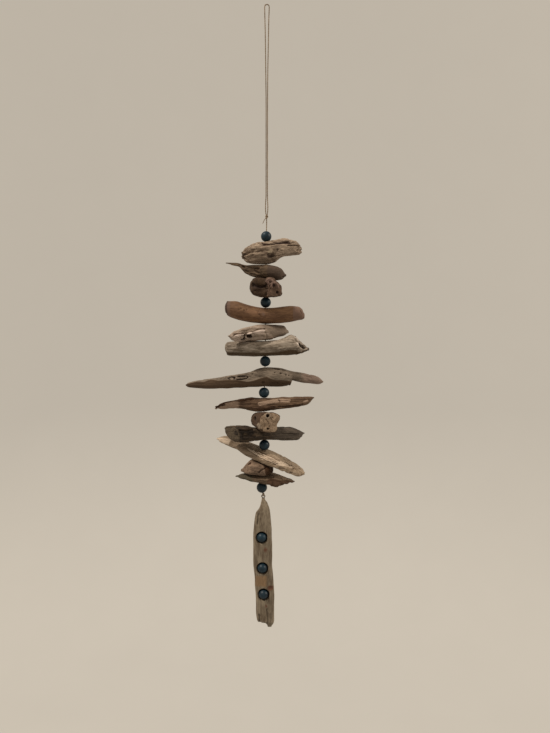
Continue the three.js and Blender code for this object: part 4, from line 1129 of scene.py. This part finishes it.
def whole_bead(name, x, y, z):
    """A plain ball, from just below its top round to just above its foot, and closed there."""
    arc = np.linspace(0.05, np.pi - 0.05, 40)[:, None]
    turn = np.linspace(0, 2 * np.pi, 56, endpoint=False)
    out = INSET_RADIUS * np.sin(arc)
    grid = np.stack([x + out * np.cos(turn), y + out * np.sin(turn),
                     z + INSET_RADIUS * np.cos(arc) + 0 * turn], -1)
    return woven(name, grid)


for number, (x, z) in enumerate(INSET, 1):
    bead = whole_bead(f"glued_bead_{number}", x, -SLAT_FRONT + RECESS_DEPTH - 0.3 - INSET_RADIUS, z)
    bead.data.materials.append(blue_lacquer)
    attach(bead, "root")
    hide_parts(f"slat_bead_{number}")


# ---------------------------------------------------------------------------------------------
# Screw eye: a small brass eye of 0.9 mm wire, dulled by age. Its ring faces the viewer, and its
# threaded shank goes 9 mm down into the top of the slat.
# ---------------------------------------------------------------------------------------------

EYE_HEIGHT, EYE_RADIUS, WIRE_RADIUS, SHANK_FOOT = -466.6, 1.5, 0.45, -477.9

turn = np.linspace(np.radians(-78), np.radians(270), 90)
ring_line = np.stack([EYE_RADIUS * np.cos(turn), 0 * turn, EYE_HEIGHT + EYE_RADIUS * np.sin(turn)], -1)
drop = np.linspace(EYE_HEIGHT - EYE_RADIUS - 0.3, SHANK_FOOT, 60)
shank_line = np.stack([0 * drop, 0 * drop, drop], -1)


def round_wire(name, line, side, radius):
    """A wire along a line: a circle of the given radius at each of its points."""
    tangent = np.gradient(line, axis=0)
    tangent /= np.linalg.norm(tangent, axis=1, keepdims=True)
    across = np.broadcast_to(np.array(side, float), line.shape)
    out = np.cross(tangent, across)
    angle = np.linspace(0, 2 * np.pi, 16, endpoint=False)
    spoke = np.cos(angle)[:, None] * across[:, None] + np.sin(angle)[:, None] * out[:, None]
    return woven(name, line[:, None] + radius[..., None] * spoke)


def old_brass(wire):
    """Dull brown metal with brighter rubbed patches."""
    place = wire.make("ShaderNodeTexCoord", {}, out=3)
    patches = place.times((900, 900, 900)).noise(3)
    tone = ((patches - 0.45) * 3.0).clamped()
    return {"colour": tone.mix(paint(70, 52, 34), paint(126, 98, 62)), "roughness": patches * 0.4 + 0.25,
            "height": patches}


aged_brass = finish_material("aged_brass", old_brass, depth=0.03, Metallic=0.85)
eye = round_wire("screw_eye_ring", ring_line, (0, 1, 0), np.full((90, 16), WIRE_RADIUS))
thread = 0.12 * np.sin(2 * np.pi * shank_line[:, 2:] / 0.8 + np.linspace(0, 2 * np.pi, 16, endpoint=False))
shank = round_wire("screw_eye_shank", shank_line, (0, 1, 0), 0.34 + thread * (shank_line[:, 2:] < -470))
for piece in (eye, shank):
    piece.data.materials.append(aged_brass)
    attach(piece, "root")
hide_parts("screw_eye")


# ---------------------------------------------------------------------------------------------
# Room: a plain pale floor that sweeps up all round into a plain pale wall, a soft lamp high on the
# left, a weaker one low on the right, and pale light from all sides.
# ---------------------------------------------------------------------------------------------

FLOOR_HEIGHT, FLOOR_RADIUS, SWEEP, WALL_HEIGHT = -2.2, 3.0, 1.5, 6.5   # metres

slope = np.linspace(0, np.pi / 2, 24)
reach = np.concatenate([np.linspace(0.02, FLOOR_RADIUS, 6), FLOOR_RADIUS + SWEEP * np.sin(slope[1:]),
                        [FLOOR_RADIUS + SWEEP]])
rise = np.concatenate([np.zeros(6), SWEEP * (1 - np.cos(slope[1:])), [WALL_HEIGHT]]) + FLOOR_HEIGHT
turn = np.linspace(0, 2 * np.pi, 96, endpoint=False)
bowl = np.stack([reach[:, None] * np.cos(turn), reach[:, None] * np.sin(turn), rise[:, None] + 0 * turn], -1)
room = bpy.data.objects.new("room", bpy.data.meshes.new("room"))
n, m = bowl.shape[:2]
i, j = np.meshgrid(np.arange(n - 1), np.arange(m), indexing="ij")
k = (j + 1) % m
quads = np.stack([i * m + j, (i + 1) * m + j, (i + 1) * m + k, i * m + k], -1).reshape(-1, 4)
room.data.from_pydata(bowl.reshape(-1, 3).tolist(), [], quads.tolist() + [list(range(m))])
room.data.shade_smooth()
bpy.context.collection.objects.link(room)
room.visible_shadow = False
room.visible_diffuse = False


def pale_wall(wire):
    """Matt warm grey, a very little uneven."""
    place = wire.make("ShaderNodeTexCoord", {}, out=3)
    mottle = place.times((3, 3, 3)).noise(2)
    return {"colour": mottle.mix(paint(112, 107, 99), paint(118, 113, 105)), "roughness": mottle * 0.1 + 0.85,
            "height": mottle}


pale = finish_material("pale_wall", pale_wall, depth=0.0, Specular_IOR_Level=0.1,
                       Emission_Color=paint(168, 160, 148), Emission_Strength=1.0)
room.data.materials.append(pale)


def lamp(name, azimuth, elevation, strength, width):
    """A distant lamp of warm white. Azimuth is degrees to the right of the viewer, elevation degrees up."""
    light = bpy.data.lights.new(name, "SUN")
    light.energy = strength
    light.color = (1.0, 0.95, 0.87)
    light.angle = np.radians(width)
    lamp_object = bpy.data.objects.new(name, light)
    lamp_object.rotation_euler = (np.radians(90 - elevation), 0, np.radians(azimuth))
    bpy.context.collection.objects.link(lamp_object)


lamp("left_lamp", -65, 52, 2.3, 8)
lamp("right_lamp", 78, 26, 1.4, 12)

world = bpy.data.worlds.new("pale_light")
world.use_nodes = True
world.node_tree.nodes["Background"].inputs["Color"].default_value = (1.0, 0.95, 0.87, 1)
world.node_tree.nodes["Background"].inputs["Strength"].default_value = 0.42
bpy.context.scene.world = world
bpy.context.scene.view_settings.view_transform = "Standard"
